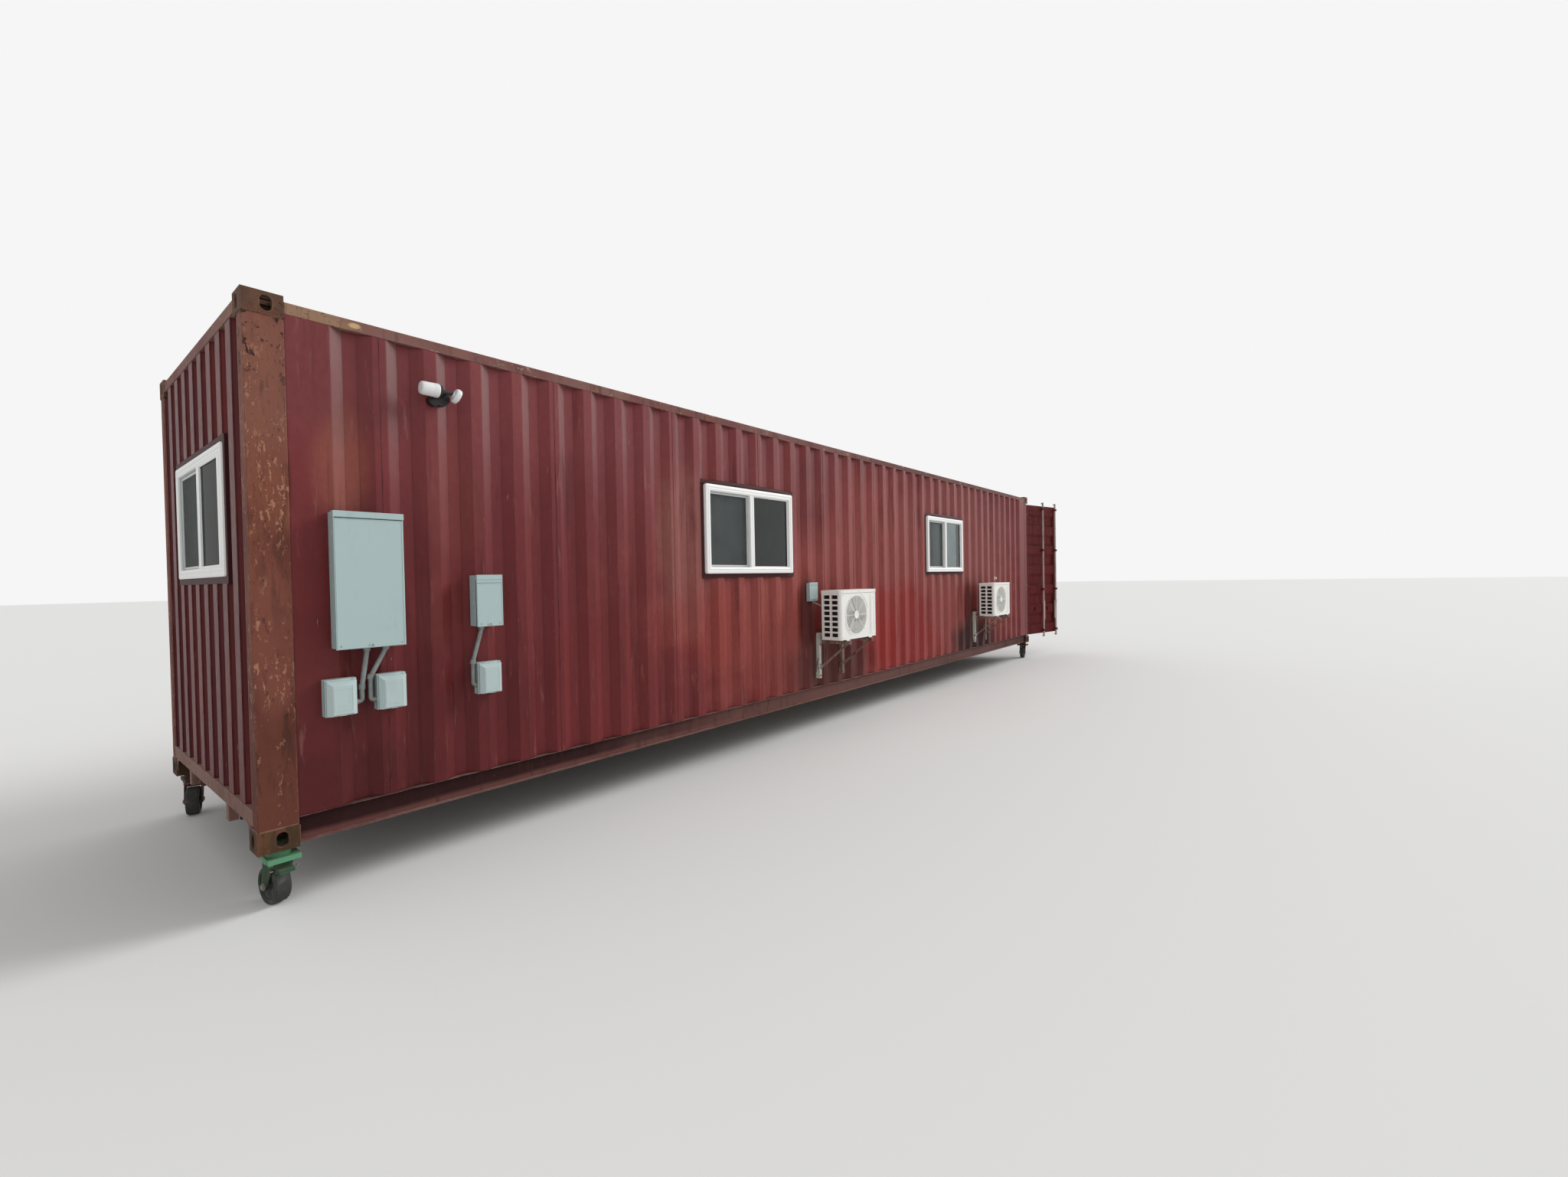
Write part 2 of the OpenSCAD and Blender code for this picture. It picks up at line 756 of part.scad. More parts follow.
// Calls its children for each of the three windows with $w and $h set
module each_window() {
    for (x = [win_1_x, win_2_x]) translate([x, wall_y, side_win_z]) {
        $w = side_win_w;
        $h = side_win_h;
        $proud = frame_proud + wall_y;
        children();
    }
    on_end() translate([(box_w - end_win_w) / 2, end_x, end_win_z]) {
        $w = end_win_w;
        $h = end_win_h;
        $proud = end_x + 2;
        children();
    }
}

module window_surrounds() {
    color([0.28, 0.1, 0.1]) each_window()
        side_ring(-surround_w, -surround_w, $w + 2 * surround_w, $h + 2 * surround_w,
            surround_w + frame_lap, surround_d);
}

module rounded_plate(w, d, h, r) {
    translate([0, d, 0]) rotate([90, 0, 0]) linear_extrude(d) union() {
        translate([r, 0]) square([w - 2 * r, h]);
        translate([0, r]) square([w, h - 2 * r]);
        for (x = [r, w - r], z = [r, h - r]) translate([x, z]) circle(r = r);
    }
}

module window_frames() {
    color([0.93, 0.93, 0.92]) each_window() difference() {
        union() {
            translate([0, -$proud, 0]) rounded_plate($w, $proud, $h, frame_r);
            translate([frame_lap, 0, frame_lap])
                cube([$w - 2 * frame_lap, surround_d + 20, $h - 2 * frame_lap]);
        }
        translate([$w / 2 + mullion_w / 2, -$proud - over, frame_w])
            cube([$w / 2 - mullion_w / 2 - frame_w, 200, $h - 2 * frame_w]);
        translate([frame_w, -$proud - over, frame_w])
            cube([$w / 2 - mullion_w / 2 - frame_w, 200, $h - 2 * frame_w]);
    }
}

module window_sashes() {
    color([0.8, 0.81, 0.8]) each_window()
        translate([0, 20, 0])
        side_ring(frame_w, frame_w, $w / 2 - mullion_w / 2 - frame_w, $h - 2 * frame_w, sash_w, sash_d);
}

module window_glass() {
    color([0.3, 0.36, 0.35, 0.6]) each_window() {
        translate([frame_w + sash_w, 20 + sash_d / 2 - glass_t / 2, frame_w + sash_w])
            cube([$w / 2 - mullion_w / 2 - frame_w - 2 * sash_w, glass_t,
                $h - 2 * frame_w - 2 * sash_w]);
        translate([$w / 2 + mullion_w / 2, 0, frame_w])
            cube([$w / 2 - mullion_w / 2 - frame_w, glass_t, $h - 2 * frame_w]);
    }
}

module each_unit() {
    for (x = [unit_1_x, unit_2_x]) translate([x, -unit_front, unit_z]) children();
}

// Fan axis of a unit, pointing away from the wall
module at_fan() {
    translate([fan_x, 0, fan_z]) rotate([90, 0, 0]) children();
}

// Upright block whose front corners are rounded
module round_fronted(w, d, h, r) {
    linear_extrude(h) union() {
        translate([r, 0]) square([w - 2 * r, d]);
        translate([0, r]) square([w, d - r]);
        for (x = [r, w - r]) translate([x, r]) circle(r = r);
    }
}

module unit_casings() {
    color([0.9, 0.9, 0.86]) each_unit() {
        difference() {
            union() {
                translate([0, 0, foot_h]) round_fronted(unit_w, unit_d, unit_h, unit_corner);
                translate([-lid_out, -lid_out, foot_h + unit_h - lid_h])
                    round_fronted(unit_w + 2 * lid_out, unit_d + 2 * lid_out, lid_h,
                        unit_corner + lid_out);
            }
            at_fan() translate([0, 0, -fan_depth]) cylinder(r = fan_r, h = fan_depth + over, $fn = 96);
            // Two columns of vents in the left side
            for (row = [0 : vent_n - 1], col = [0, 1])
                translate([-over, 38 + col * (vent_w + 22), foot_h + 34 + row * vent_pitch])
                cube([vent_depth + over, vent_w, vent_h]);
        }
        // Motor boss and shaft
        at_fan() translate([0, 0, -fan_depth]) {
            cylinder(r = 40, h = 40);
            cylinder(r = 6, h = fan_depth - 30);
        }
        for (x = [bracket_x, bracket_x + bracket_gap])
            translate([x - 10, -6, 0]) cube([bracket_s + 20, unit_d + 12, foot_h]);
    }
}

module fan_guards() {
    rings = floor((fan_r - disc_r) / ring_gap);
    color([0.88, 0.88, 0.85]) each_unit() at_fan() {
        cylinder(r = disc_r, h = guard_t);
        for (i = [1 : rings]) difference() {
            cylinder(r = disc_r + i * ring_gap, h = guard_t, $fn = 96);
            translate([0, 0, -over])
                cylinder(r = disc_r + i * ring_gap - wire_t, h = guard_t + 2 * over, $fn = 96);
        }
        for (a = [0 : 45 : 315]) rotate([0, 0, a]) translate([disc_r - 3, -wire_t / 2, 0])
            cube([fan_r + 6 - disc_r, wire_t, guard_t]);
        difference() {
            cylinder(r = fan_r + 8, h = guard_t, $fn = 96);
            translate([0, 0, -over]) cylinder(r = fan_r - 4, h = guard_t + 2 * over, $fn = 96);
        }
    }
}

module unit_fan() {
    hub = 36;
    color([0.75, 0.76, 0.74]) at_fan() translate([0, 0, -fan_depth + 50]) difference() {
        union() {
            cylinder(r = hub, h = 50);
            intersection() {
                for (a = [0, 120, 240]) rotate([0, 0, a]) translate([0, -75, 25])
                    rotate([28, 0, 0]) translate([0, 0, -2]) cube([fan_r, 150, 4]);
                difference() {
                    cylinder(r = fan_r - 12, h = 50);
                    translate([0, 0, -over]) cylinder(r = hub - 2, h = 52);
                }
            }
        }
        translate([0, 0, -over]) cylinder(r = 6 + run, h = 60);
    }
}

module left_unit_fan() {
    translate([unit_1_x, -unit_front, unit_z]) unit_fan();
}

module right_unit_fan() {
    translate([unit_2_x, -unit_front, unit_z]) unit_fan();
}

module bracket() {
    s = bracket_s;
    arm_l = unit_front + 30;
    arm_z = unit_z - s;
    translate([0, wall_y - s, bracket_low]) cube([s, s, unit_z + rail_up + s - bracket_low]);
    translate([0, -arm_l, arm_z]) cube([s, arm_l - s + wall_y + over, s]);
    // Diagonal from the foot of the upright to the outer end of the arm
    low = bracket_low + 95;
    rise = arm_z - low;
    out = arm_l - s - 20;
    translate([s / 2 - 4, wall_y - s, low]) rotate([90, 0, 90]) linear_extrude(8)
        polygon([[2, 0], [-out, rise + 2], [-out + 34, rise + 2], [2, 34]]);
}

// Two brackets a unit, joined behind it by a cross rail that lies on the wall's outer flats
module unit_brackets() {
    color([0.6, 0.62, 0.6]) for (x = [unit_1_x, unit_2_x]) translate([x + bracket_x, 0, 0]) {
        for (g = [0, bracket_gap]) translate([g, 0, 0]) bracket();
        translate([0, wall_y - bracket_s, unit_z + rail_up])
            cube([bracket_gap + bracket_s, bracket_s, bracket_s]);
    }
}

// A box on the near side with its back on the wall's outer flats
module wall_box(x, z, w, d, h) {
    translate([x, wall_y - d, z]) cube([w, d, h]);
}

module disconnect_box() {
    color([0.62, 0.7, 0.7]) {
        wall_box(switch_x, switch_z, switch_w, switch_d - 4, switch_h);
        translate([switch_x - 3, wall_y - switch_d, switch_z + 6])
            cube([switch_w + 6, 20, switch_h]);
    }
}

// Cable between the disconnect box and the back of the first unit, with a gland at each end
module power_whip() {
    gland = 24;
    top = [switch_x + switch_w * 0.6, wall_y - switch_d / 2, switch_z];
    end = [unit_1_x + unit_w / 6, -unit_back, unit_z + foot_h + unit_h * 0.62];
    a = top - [0, 0, gland / 2];
    d = end + [0, gland / 2, 0] - a;
    color([0.55, 0.56, 0.55]) {
        translate(top - [0, 0, gland]) cylinder(r = whip_r + 5, h = gland);
        translate(end) rotate([-90, 0, 0]) cylinder(r = whip_r + 5, h = gland);
        translate(a) rotate([0, acos(d[2] / norm(d)), atan2(d[1], d[0])])
            cylinder(r = whip_r, h = norm(d));
    }
}

module main_panel() {
    color([0.66, 0.73, 0.73]) {
        wall_box(main_x, main_z, main_w, main_d - 8, main_h);
        translate([main_x - 5, wall_y - main_d, main_z - 4]) cube([main_w + 10, 14, main_h - 20]);
        translate([main_x - 7, wall_y - main_d - 6, main_z + main_h - 30]) cube([main_w + 14, 40, 34]);
    }
}

module sub_panel() {
    color([0.66, 0.73, 0.73]) {
        wall_box(sub_x, sub_z, sub_w, sub_d - 6, sub_h);
        translate([sub_x - 4, wall_y - sub_d, sub_z - 3]) cube([sub_w + 8, 12, sub_h + 6]);
    }
}

// Cover whose front slopes back at its top and sides, and a little at its foot
module outlet_cover(w, d, h) {
    s = cover_slope;
    intersection() {
        rotate([90, 0, 90]) linear_extrude(w)
            polygon([[0, s / 3], [s / 3, 0], [d, 0], [d, h], [s, h], [0, h - s]]);
        linear_extrude(h)
            polygon([[0, s], [s, 0], [w - s, 0], [w, s], [w, d], [0, d]]);
    }
}

module outlet_boxes() {
    edge = 3;
    color([0.64, 0.7, 0.69]) for (x = [outlet_1_x, outlet_2_x, outlet_3_x]) {
        wall_box(x, outlet_z, outlet_w, outlet_d - cover_d, outlet_h);
        translate([x + edge, wall_y - outlet_d, outlet_z + edge])
            outlet_cover(outlet_w - 2 * edge, cover_d + over, outlet_h - 2 * edge - barrel_r);
        translate([x + 4 * edge, wall_y - outlet_d + cover_d, outlet_z + outlet_h - barrel_r])
            rotate([0, 90, 0]) cylinder(r = barrel_r, h = outlet_w - 8 * edge);
    }
}

// Round bar between two points given along the wall and up it
module bar(a, b, r) {
    d = b - a;
    translate([a[0], a[1], 0]) rotate([0, 0, atan2(d[1], d[0])]) rotate([0, 90, 0])
        cylinder(r = r, h = norm(d));
}

// Conduit from the underside of a box, by a coupling and an elbow, to the side of an outlet
module conduit(from, knee, end) {
    grip = 6;
    side = sign(end[0] - knee[0]);
    way = (knee - from + [0, fitting_l]) / norm(knee - from + [0, fitting_l]);
    half = (way + [0, -1]) / norm(way + [0, -1]) * fitting_l / 2;
    corner = [knee[0], end[1] + conduit_bend];
    bar(from, from - [0, fitting_l], fitting_r);
    bar(from - [0, fitting_l - grip], knee - way * (fitting_l / 2 - grip), conduit_r);
    bar(knee - half, knee + half, fitting_r);
    bar(knee - [0, fitting_l / 2 - grip], corner, conduit_r);
    translate([corner[0] + side * conduit_bend, corner[1], 0])
        rotate([0, 0, side > 0 ? 180 : 270]) rotate_extrude(angle = 90)
        translate([conduit_bend, 0]) circle(r = conduit_r);
    bar([corner[0] + side * conduit_bend, end[1]], end, conduit_r);
}

module conduits() {
    mid = outlet_z + 60;
    knee = outlet_z + 140;
    high_knee = outlet_z + outlet_h + 8;
    color([0.58, 0.62, 0.62]) translate([0, wall_y - conduit_out, 0]) rotate([90, 0, 0]) {
        conduit([main_x + main_w * 0.48, main_z], [outlet_1_x + outlet_w + 34, knee],
            [outlet_1_x + outlet_w, mid]);
        conduit([main_x + main_w * 0.76, main_z], [outlet_2_x - 26, knee + 50],
            [outlet_2_x, mid]);
        conduit([sub_x + sub_w / 3, sub_z], [outlet_3_x - 20, high_knee],
            [outlet_3_x, mid]);
    }
}

// Frame of the lamp: X along the wall, Y out of it and Z up, from the middle of its base
module at_lamp() {
    translate([lamp_x, wall_y, rail_top_z - lamp_drop]) mirror([0, 1, 0]) children();
}

// Round base, sensor below it on the left, stem and the arm that carries both heads
module lamp_base() {
    color([0.12, 0.12, 0.12]) at_lamp() {
        rotate([-90, 0, 0]) cylinder(r = lamp_base_r, h = 36);
        translate([-lamp_base_r, 0, -22]) rotate([-90, 0, 0])
            cylinder(r = 32, h = lamp_out - left_head_r - 3);
        translate([0, 0, lamp_arm_up]) rotate([-90, 0, 0]) cylinder(r = 15, h = lamp_out);
        translate([-lamp_head_in, lamp_out, lamp_arm_up]) rotate([0, 90, 0]) {
            cylinder(r = 13, h = 2 * lamp_head_in);
            cylinder(r = 34, h = 12);
        }
    }
}

// Left head lies along the wall, right head looks down and away from it
module lamp_heads() {
    color([0.93, 0.93, 0.92]) at_lamp() {
        translate([-lamp_head_in, lamp_out, lamp_arm_up]) rotate([0, -90, 0]) rotate_extrude()
            polygon([[0, 0], [left_head_r - 4, 0], [left_head_r, 5], [left_head_r, left_head_l * 0.62],
                [left_head_r * 0.88, left_head_l * 0.86], [left_head_r * 0.6, left_head_l * 0.97],
                [0, left_head_l]]);
        difference() {
            translate([lamp_head_in - 5, lamp_out, lamp_arm_up])
                rotate([0, 90 + right_head_dip, 0]) rotate_extrude()
                polygon([[0, 0], [12, 0], [right_head_r * 0.6, right_head_l * 0.3],
                    [right_head_r, right_head_l * 0.55], [right_head_r, right_head_l - 3],
                    [right_head_r - 3, right_head_l], [0, right_head_l]]);
            // Flat that meets the end of the arm
            translate([lamp_head_in, lamp_out, lamp_arm_up] - right_head_r * [2, 1, 1])
                cube(2 * right_head_r);
        }
    }
}

// Door end: everything on a leaf is drawn closed, with the hinge pin at the origin,
// X pointing out of the cabin and Y along the leaf
module near_door() {
    translate([pin_x, pin_side, 0]) rotate([0, 0, -door_rest]) children();
}

module far_door() {
    far_side() near_door() children();
}

module door_leaf() {
    inner_w = leaf_w - 2 * bar_w;
    inner_h = leaf_h - 2 * bar_w;
    edge = pressed(inner_h, press_step * 0.2, press_step * 0.4, press_step * 0.4,
        press_step * 0.1, press_d, press_n);
    color([0.45, 0.17, 0.17]) {
        translate([leaf_n - leaf_t, leaf_from, leaf_low]) difference() {
            cube([leaf_t, leaf_w, leaf_h]);
            translate([-over, bar_w, bar_w]) cube([leaf_t + 2 * over, inner_w, inner_h]);
        }
        translate([leaf_n - 4, leaf_from + bar_w + inner_w, leaf_low + bar_w])
            rotate([90, 0, 0]) linear_extrude(inner_w)
            polygon([for (p = thick(edge, door_sheet)) [-p[1], p[0]]]);
        hinge_levels() difference() {
            union() {
                translate([0, 0, -knuckle_h / 2]) cylinder(r = knuckle_r, h = knuckle_h);
                translate([leaf_n, 0, -knuckle_h / 2]) cube([14, leaf_from + strap_l, knuckle_h]);
            }
            translate([0, 0, -knuckle_h]) cylinder(r = pin_r + run, h = 2 * knuckle_h);
        }
        for (w = [rod_1_w, rod_2_w]) translate([leaf_n, w, 0]) {
            for (z = rod_guides) translate([0, 0, z]) difference() {
                translate([-4, -32, -20]) cube([rod_out + rod_r + 10, 64, 40]);
                translate([rod_out, 0, -40]) cylinder(r = rod_r + run, h = 80);
            }
            // Catch that holds the handle of a locked rod
            translate([-4, -catch_w - 15, leaf_low + bar_w + press_step - 35]) cube([26, 30, 70]);
        }
    }
}

module door_seal() {
    color([0.08, 0.08, 0.08]) translate([leaf_n - leaf_t - seal_t, leaf_from, leaf_low])
        difference() {
            cube([seal_t, leaf_w, leaf_h]);
            translate([-over, 36, 36]) cube([seal_t + 2 * over, leaf_w - 72, leaf_h - 72]);
        }
}

// A lock rod with a cam at each end and a handle that hangs down beside it
module lock_rod(w, way) {
    handle = [12, 30, handle_l];
    color([0.5, 0.22, 0.2]) translate([rod_n, w, 0]) {
        translate([0, 0, rod_low]) cylinder(r = rod_r, h = rod_high - rod_low);
        for (e = [rod_low + 4, rod_high - 28]) translate([-30, -12, e]) cube([30, 24, 24]);
        translate([0, 0, handle_z - 30]) cylinder(r = rod_r + 6, h = 60);
        translate([-6, way > 0 ? rod_r + 1 : -rod_r - 31, handle_z + 15 - handle_l]) cube(handle);
        translate([-6, way > 0 ? 0 : -rod_r - 31, handle_z - 15]) cube([12, rod_r + 31, 30]);
    }
}

module near_door_leaf() { near_door() door_leaf(); }
module near_door_seal() { near_door() door_seal(); }
module near_door_rod_1() { near_door() lock_rod(rod_1_w, 1); }
module near_door_rod_2() { near_door() lock_rod(rod_2_w, -1); }
module far_door_leaf() { far_door() door_leaf(); }
module far_door_seal() { far_door() door_seal(); }
module far_door_rod_1() { far_door() lock_rod(rod_1_w, 1); }
module far_door_rod_2() { far_door() lock_rod(rod_2_w, -1); }

// Casters: drawn with the swivel at the origin and the wheel trailing along X
module caster_plates() {
    color([0.35, 0.6, 0.42]) mirrored_x() mirrored_y() translate([slot_x, slot_y, 0]) {
        translate([0, 0, -block_h]) cylinder(r = 55, h = block_h);
        translate([0, 0, -over]) slot(slot_l - 4, slot_w - 4, casting_wall + over);
        translate([plate_in - plate_l / 2, -plate_w / 2, -block_h - plate_t])
            cube([plate_l, plate_w, plate_t]);
        translate([0, 0, crown_low + 4]) cylinder(r = 12, h = -crown_low - block_h);
    }
}

module fork() {
    color([0.2, 0.26, 0.22]) difference() {
        union() {
            translate([0, 0, crown_low]) cylinder(r = 50, h = crown_top - crown_low);
            for (s = [-1, 1]) translate([0, s * wheel_y - (s < 0 ? leg_t : 0), 0])
                rotate([-90, 0, 0]) linear_extrude(leg_t)
                polygon([[-46, -crown_top], [46, -crown_top], [trail + 26, -axle_z],
                    [trail, -axle_z + 26], [trail - 26, -axle_z]]);
            translate([-46, -wheel_y, crown_low]) cube([92, 2 * wheel_y, crown_top - crown_low]);
            // Brake lug on the side that leads
            translate([-46 - brake_l, -brake_w / 2, crown_low - brake_t])
                cube([brake_l + 8, brake_w, brake_t]);
            translate([-54, -brake_w / 2, crown_low - brake_t])
                cube([12, brake_w, crown_top - crown_low + brake_t]);
            translate([trail, wheel_y + leg_t + 8, axle_z]) rotate([90, 0, 0])
                cylinder(r = axle_r, h = 2 * (wheel_y + leg_t + 8));
        }
        translate([0, 0, crown_low - over]) cylinder(r = 12 + run, h = 100);
    }
}

module wheel() {
    color([0.25, 0.26, 0.27]) translate([trail, 0, axle_z]) rotate([90, 0, 0])
        rotate_extrude($fn = 96) polygon([
            [axle_r + run, -wheel_w / 2 - 1], [28, -wheel_w / 2 - 1], [30, -wheel_w / 2 + 12],
            [wheel_r - 26, -wheel_w / 2 + 12], [wheel_r - 22, -wheel_w / 2],
            [wheel_r - 5, -wheel_w / 2], [wheel_r, -wheel_w / 2 + 8], [wheel_r, wheel_w / 2 - 8],
            [wheel_r - 5, wheel_w / 2], [wheel_r - 22, wheel_w / 2],
            [wheel_r - 26, wheel_w / 2 - 12], [30, wheel_w / 2 - 12], [28, wheel_w / 2 + 1],
            [axle_r + run, wheel_w / 2 + 1]]);
}

module swivel(x, y, turn) {
    translate([x, y, 0]) rotate([0, 0, turn]) children();
}

module near_left_fork() { swivel(slot_x, slot_y, turn_1) fork(); }
module far_left_fork() { swivel(slot_x, box_w - slot_y, turn_2) fork(); }
module near_right_fork() { swivel(box_l - slot_x, slot_y, turn_3) fork(); }
module far_right_fork() { swivel(box_l - slot_x, box_w - slot_y, turn_4) fork(); }
module near_left_wheel() { swivel(slot_x, slot_y, turn_1) wheel(); }
module far_left_wheel() { swivel(slot_x, box_w - slot_y, turn_2) wheel(); }
module near_right_wheel() { swivel(box_l - slot_x, slot_y, turn_3) wheel(); }
module far_right_wheel() { swivel(box_l - slot_x, box_w - slot_y, turn_4) wheel(); }

placed() top_corner_castings();
placed() under_corner_castings();
placed() front_corner_posts();
placed() rear_corner_posts();
placed() top_side_rails();
placed() bottom_side_rails();
placed() front_header();
placed() front_sill();
placed() door_header();
placed() door_sill();
placed() door_keepers();
placed() sill_plates();
placed() near_side_wall();
placed() far_side_wall();
placed() front_end_wall();
placed() roof_sheet();
placed() floor_boards();
placed() cross_members();
placed() tunnel_plate();
placed() tunnel_sides();
placed() window_surrounds();
placed() window_frames();
placed() window_sashes();
placed() window_glass();
placed() unit_casings();
placed() fan_guards();
placed() left_unit_fan();
placed() right_unit_fan();
placed() unit_brackets();
placed() disconnect_box();
placed() power_whip();
placed() main_panel();
placed() sub_panel();
placed() outlet_boxes();
placed() conduits();
placed() lamp_base();
placed() lamp_heads();
placed() near_door_leaf();
placed() near_door_seal();
placed() near_door_rod_1();
placed() near_door_rod_2();
placed() far_door_leaf();
placed() far_door_seal();
placed() far_door_rod_1();
placed() far_door_rod_2();
placed() caster_plates();
placed() near_left_fork();
placed() far_left_fork();
placed() near_right_fork();
placed() far_right_fork();
placed() near_left_wheel();
placed() far_left_wheel();
placed() near_right_wheel();
placed() far_right_wheel();
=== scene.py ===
"""Looks of the container cabin: weathered paint, rust, windows, cooling units, boxes and casters.

Lengths are in metres. Places on the shell are counted from its near left bottom casting:
x along the cabin from the blind end, y from the near side inwards, z up from the castings.
Pieces on a face are drawn in its own axes: u along the face, v up, w out of it.
Colours of finishes are given as they are seen, 0 to 255.
"""

import json
import math

import bmesh
import bpy
from mathutils import Matrix, Vector


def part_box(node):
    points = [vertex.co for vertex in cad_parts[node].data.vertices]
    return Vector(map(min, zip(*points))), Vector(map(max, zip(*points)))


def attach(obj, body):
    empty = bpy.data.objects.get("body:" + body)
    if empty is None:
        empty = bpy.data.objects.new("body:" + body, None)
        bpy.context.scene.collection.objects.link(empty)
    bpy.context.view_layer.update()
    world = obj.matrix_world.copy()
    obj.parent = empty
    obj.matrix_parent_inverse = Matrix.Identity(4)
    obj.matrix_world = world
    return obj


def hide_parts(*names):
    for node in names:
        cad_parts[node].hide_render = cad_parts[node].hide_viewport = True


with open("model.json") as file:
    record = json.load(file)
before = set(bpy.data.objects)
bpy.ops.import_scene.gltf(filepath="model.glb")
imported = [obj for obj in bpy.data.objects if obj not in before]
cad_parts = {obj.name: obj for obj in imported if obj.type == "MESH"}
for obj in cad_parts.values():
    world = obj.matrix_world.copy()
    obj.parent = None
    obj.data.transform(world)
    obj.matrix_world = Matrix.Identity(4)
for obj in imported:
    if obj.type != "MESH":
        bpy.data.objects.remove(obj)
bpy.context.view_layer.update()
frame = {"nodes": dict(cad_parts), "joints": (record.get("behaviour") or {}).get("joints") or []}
nodes = frame["nodes"]
joints = {joint["child"]: joint for joint in frame["joints"]}

shell_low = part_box("under_corner_castings")[0]


def on_shell(x, y, z):
    """A place counted from the near left bottom casting, in the frame's own metres."""
    return shell_low + Vector((x, y, z))


# Shader building

def colour(red, green, blue):
    """A colour as it is seen, turned into linear values with full alpha."""
    def linear(value):
        value /= 255
        return value / 12.92 if value <= 0.04045 else ((value + 0.055) / 1.055) ** 2.4
    return (linear(red), linear(green), linear(blue), 1.0)


def add(tree, kind, inputs=(), **settings):
    """Adds a node, with its settings, and its inputs as values or as sockets to link from."""
    node = tree.nodes.new("ShaderNode" + kind)
    for name, value in settings.items():
        setattr(node, name, value)
    for name, value in dict(inputs).items():
        if isinstance(value, bpy.types.NodeSocket):
            tree.links.new(value, node.inputs[name])
        else:
            node.inputs[name].default_value = value
    return node


def maths(tree, operation, first, second=0.0, third=0.0, clamp=False):
    return add(tree, "Math", {0: first, 1: second, 2: third},
               operation=operation, use_clamp=clamp).outputs[0]


def times(tree, first, second):
    return maths(tree, "MULTIPLY", first, second)


def vectors(tree, operation, first, second=(0, 0, 0)):
    return add(tree, "VectorMath", {0: first, 1: second}, operation=operation).outputs[0]


def blend(tree, mask, under, over):
    """The colour under, covered by the colour over where the mask is 1."""
    under, over = (colour(*tone) if isinstance(tone, tuple) else tone for tone in (under, over))
    return add(tree, "Mix", {0: mask, 6: under, 7: over}, data_type="RGBA").outputs[2]


def steps(tree, value, low, high):
    """0 below low, 1 above high, smooth between."""
    return add(tree, "MapRange", {0: value, 1: low, 2: high},
               interpolation_type="SMOOTHSTEP").outputs[0]


def around(tree, value, level, soft):
    """0 below a level and 1 above it, smooth over a softness to both sides."""
    return steps(tree, value, maths(tree, "SUBTRACT", level, soft), maths(tree, "ADD", level, soft))


def between(tree, value, low, high):
    """Takes 0 to 1 to low to high."""
    return add(tree, "MapRange", {0: value, 3: low, 4: high}).outputs[0]


def noise(tree, place, scale, detail=4.0, roughness=0.55, distortion=0.0):
    return add(tree, "TexNoise", {"Vector": place, "Scale": scale, "Detail": detail,
               "Roughness": roughness, "Distortion": distortion}).outputs["Fac"]


def object_place(tree):
    return add(tree, "TexCoord").outputs["Object"]


def face_normal(tree):
    return add(tree, "NewGeometry").outputs["Normal"]


def parts_of(tree, vector):
    return add(tree, "SeparateXYZ", {0: vector}).outputs


def effect(name, outputs=("Mask",), **inputs):
    """Turns a function that draws an effect into a node group, with its usual inputs."""
    def make(draw):
        tree = bpy.data.node_groups.new(name, "ShaderNodeTree")
        for label, value in inputs.items():
            kind = "NodeSocketVector" if isinstance(value, tuple) else "NodeSocketFloat"
            socket = tree.interface.new_socket(label, in_out="INPUT", socket_type=kind)
            socket.default_value = value
        for label in outputs:
            kind = "NodeSocketVector" if label == "Normal" else "NodeSocketFloat"
            tree.interface.new_socket(label, in_out="OUTPUT", socket_type=kind)
        drawn = draw(tree, tree.nodes.new("NodeGroupInput").outputs)
        gives = tree.nodes.new("NodeGroupOutput").inputs
        for label, socket in zip(outputs, drawn if isinstance(drawn, tuple) else (drawn,)):
            tree.links.new(socket, gives[label])
        return tree
    return make


def drawn_down(tree, tall, seed):
    """The place with z squeezed, so that what is drawn there is tall, and moved by a seed."""
    squeeze = maths(tree, "DIVIDE", 1.0, tall)
    factors = add(tree, "CombineXYZ", {0: 1.0, 1: 1.0, 2: squeeze}).outputs[0]
    return vectors(tree, "ADD", vectors(tree, "MULTIPLY", object_place(tree), factors), seed)


@effect("Blotches", Scale=1.0, Share=0.5, Softness=0.1, Stretch=(1, 1, 1))
def blotches(tree, given):
    """Soft uneven patches, as in sun-faded paint."""
    place = vectors(tree, "MULTIPLY", object_place(tree), given["Stretch"])
    cloud = noise(tree, place, given["Scale"], 5, 0.6, 0.4)
    level = maths(tree, "SUBTRACT", 1.0, given["Share"])
    return around(tree, cloud, level, given["Softness"])


@effect("Streaks", Spacing=8.0, Length=1.0, Share=0.4, Seed=0.0)
def streaks(tree, given):
    """Marks of rain and rust that run down, fading in and out."""
    tall = times(tree, 12.5, given["Length"])
    fine = noise(tree, drawn_down(tree, tall, given["Seed"]), given["Spacing"], 3, 0.6, 0.15)
    sharp = around(tree, fine, maths(tree, "SUBTRACT", 1.0, given["Share"]), 0.06)
    broken = steps(tree, noise(tree, object_place(tree), 1.7, 3), 0.35, 0.6)
    return times(tree, sharp, broken)


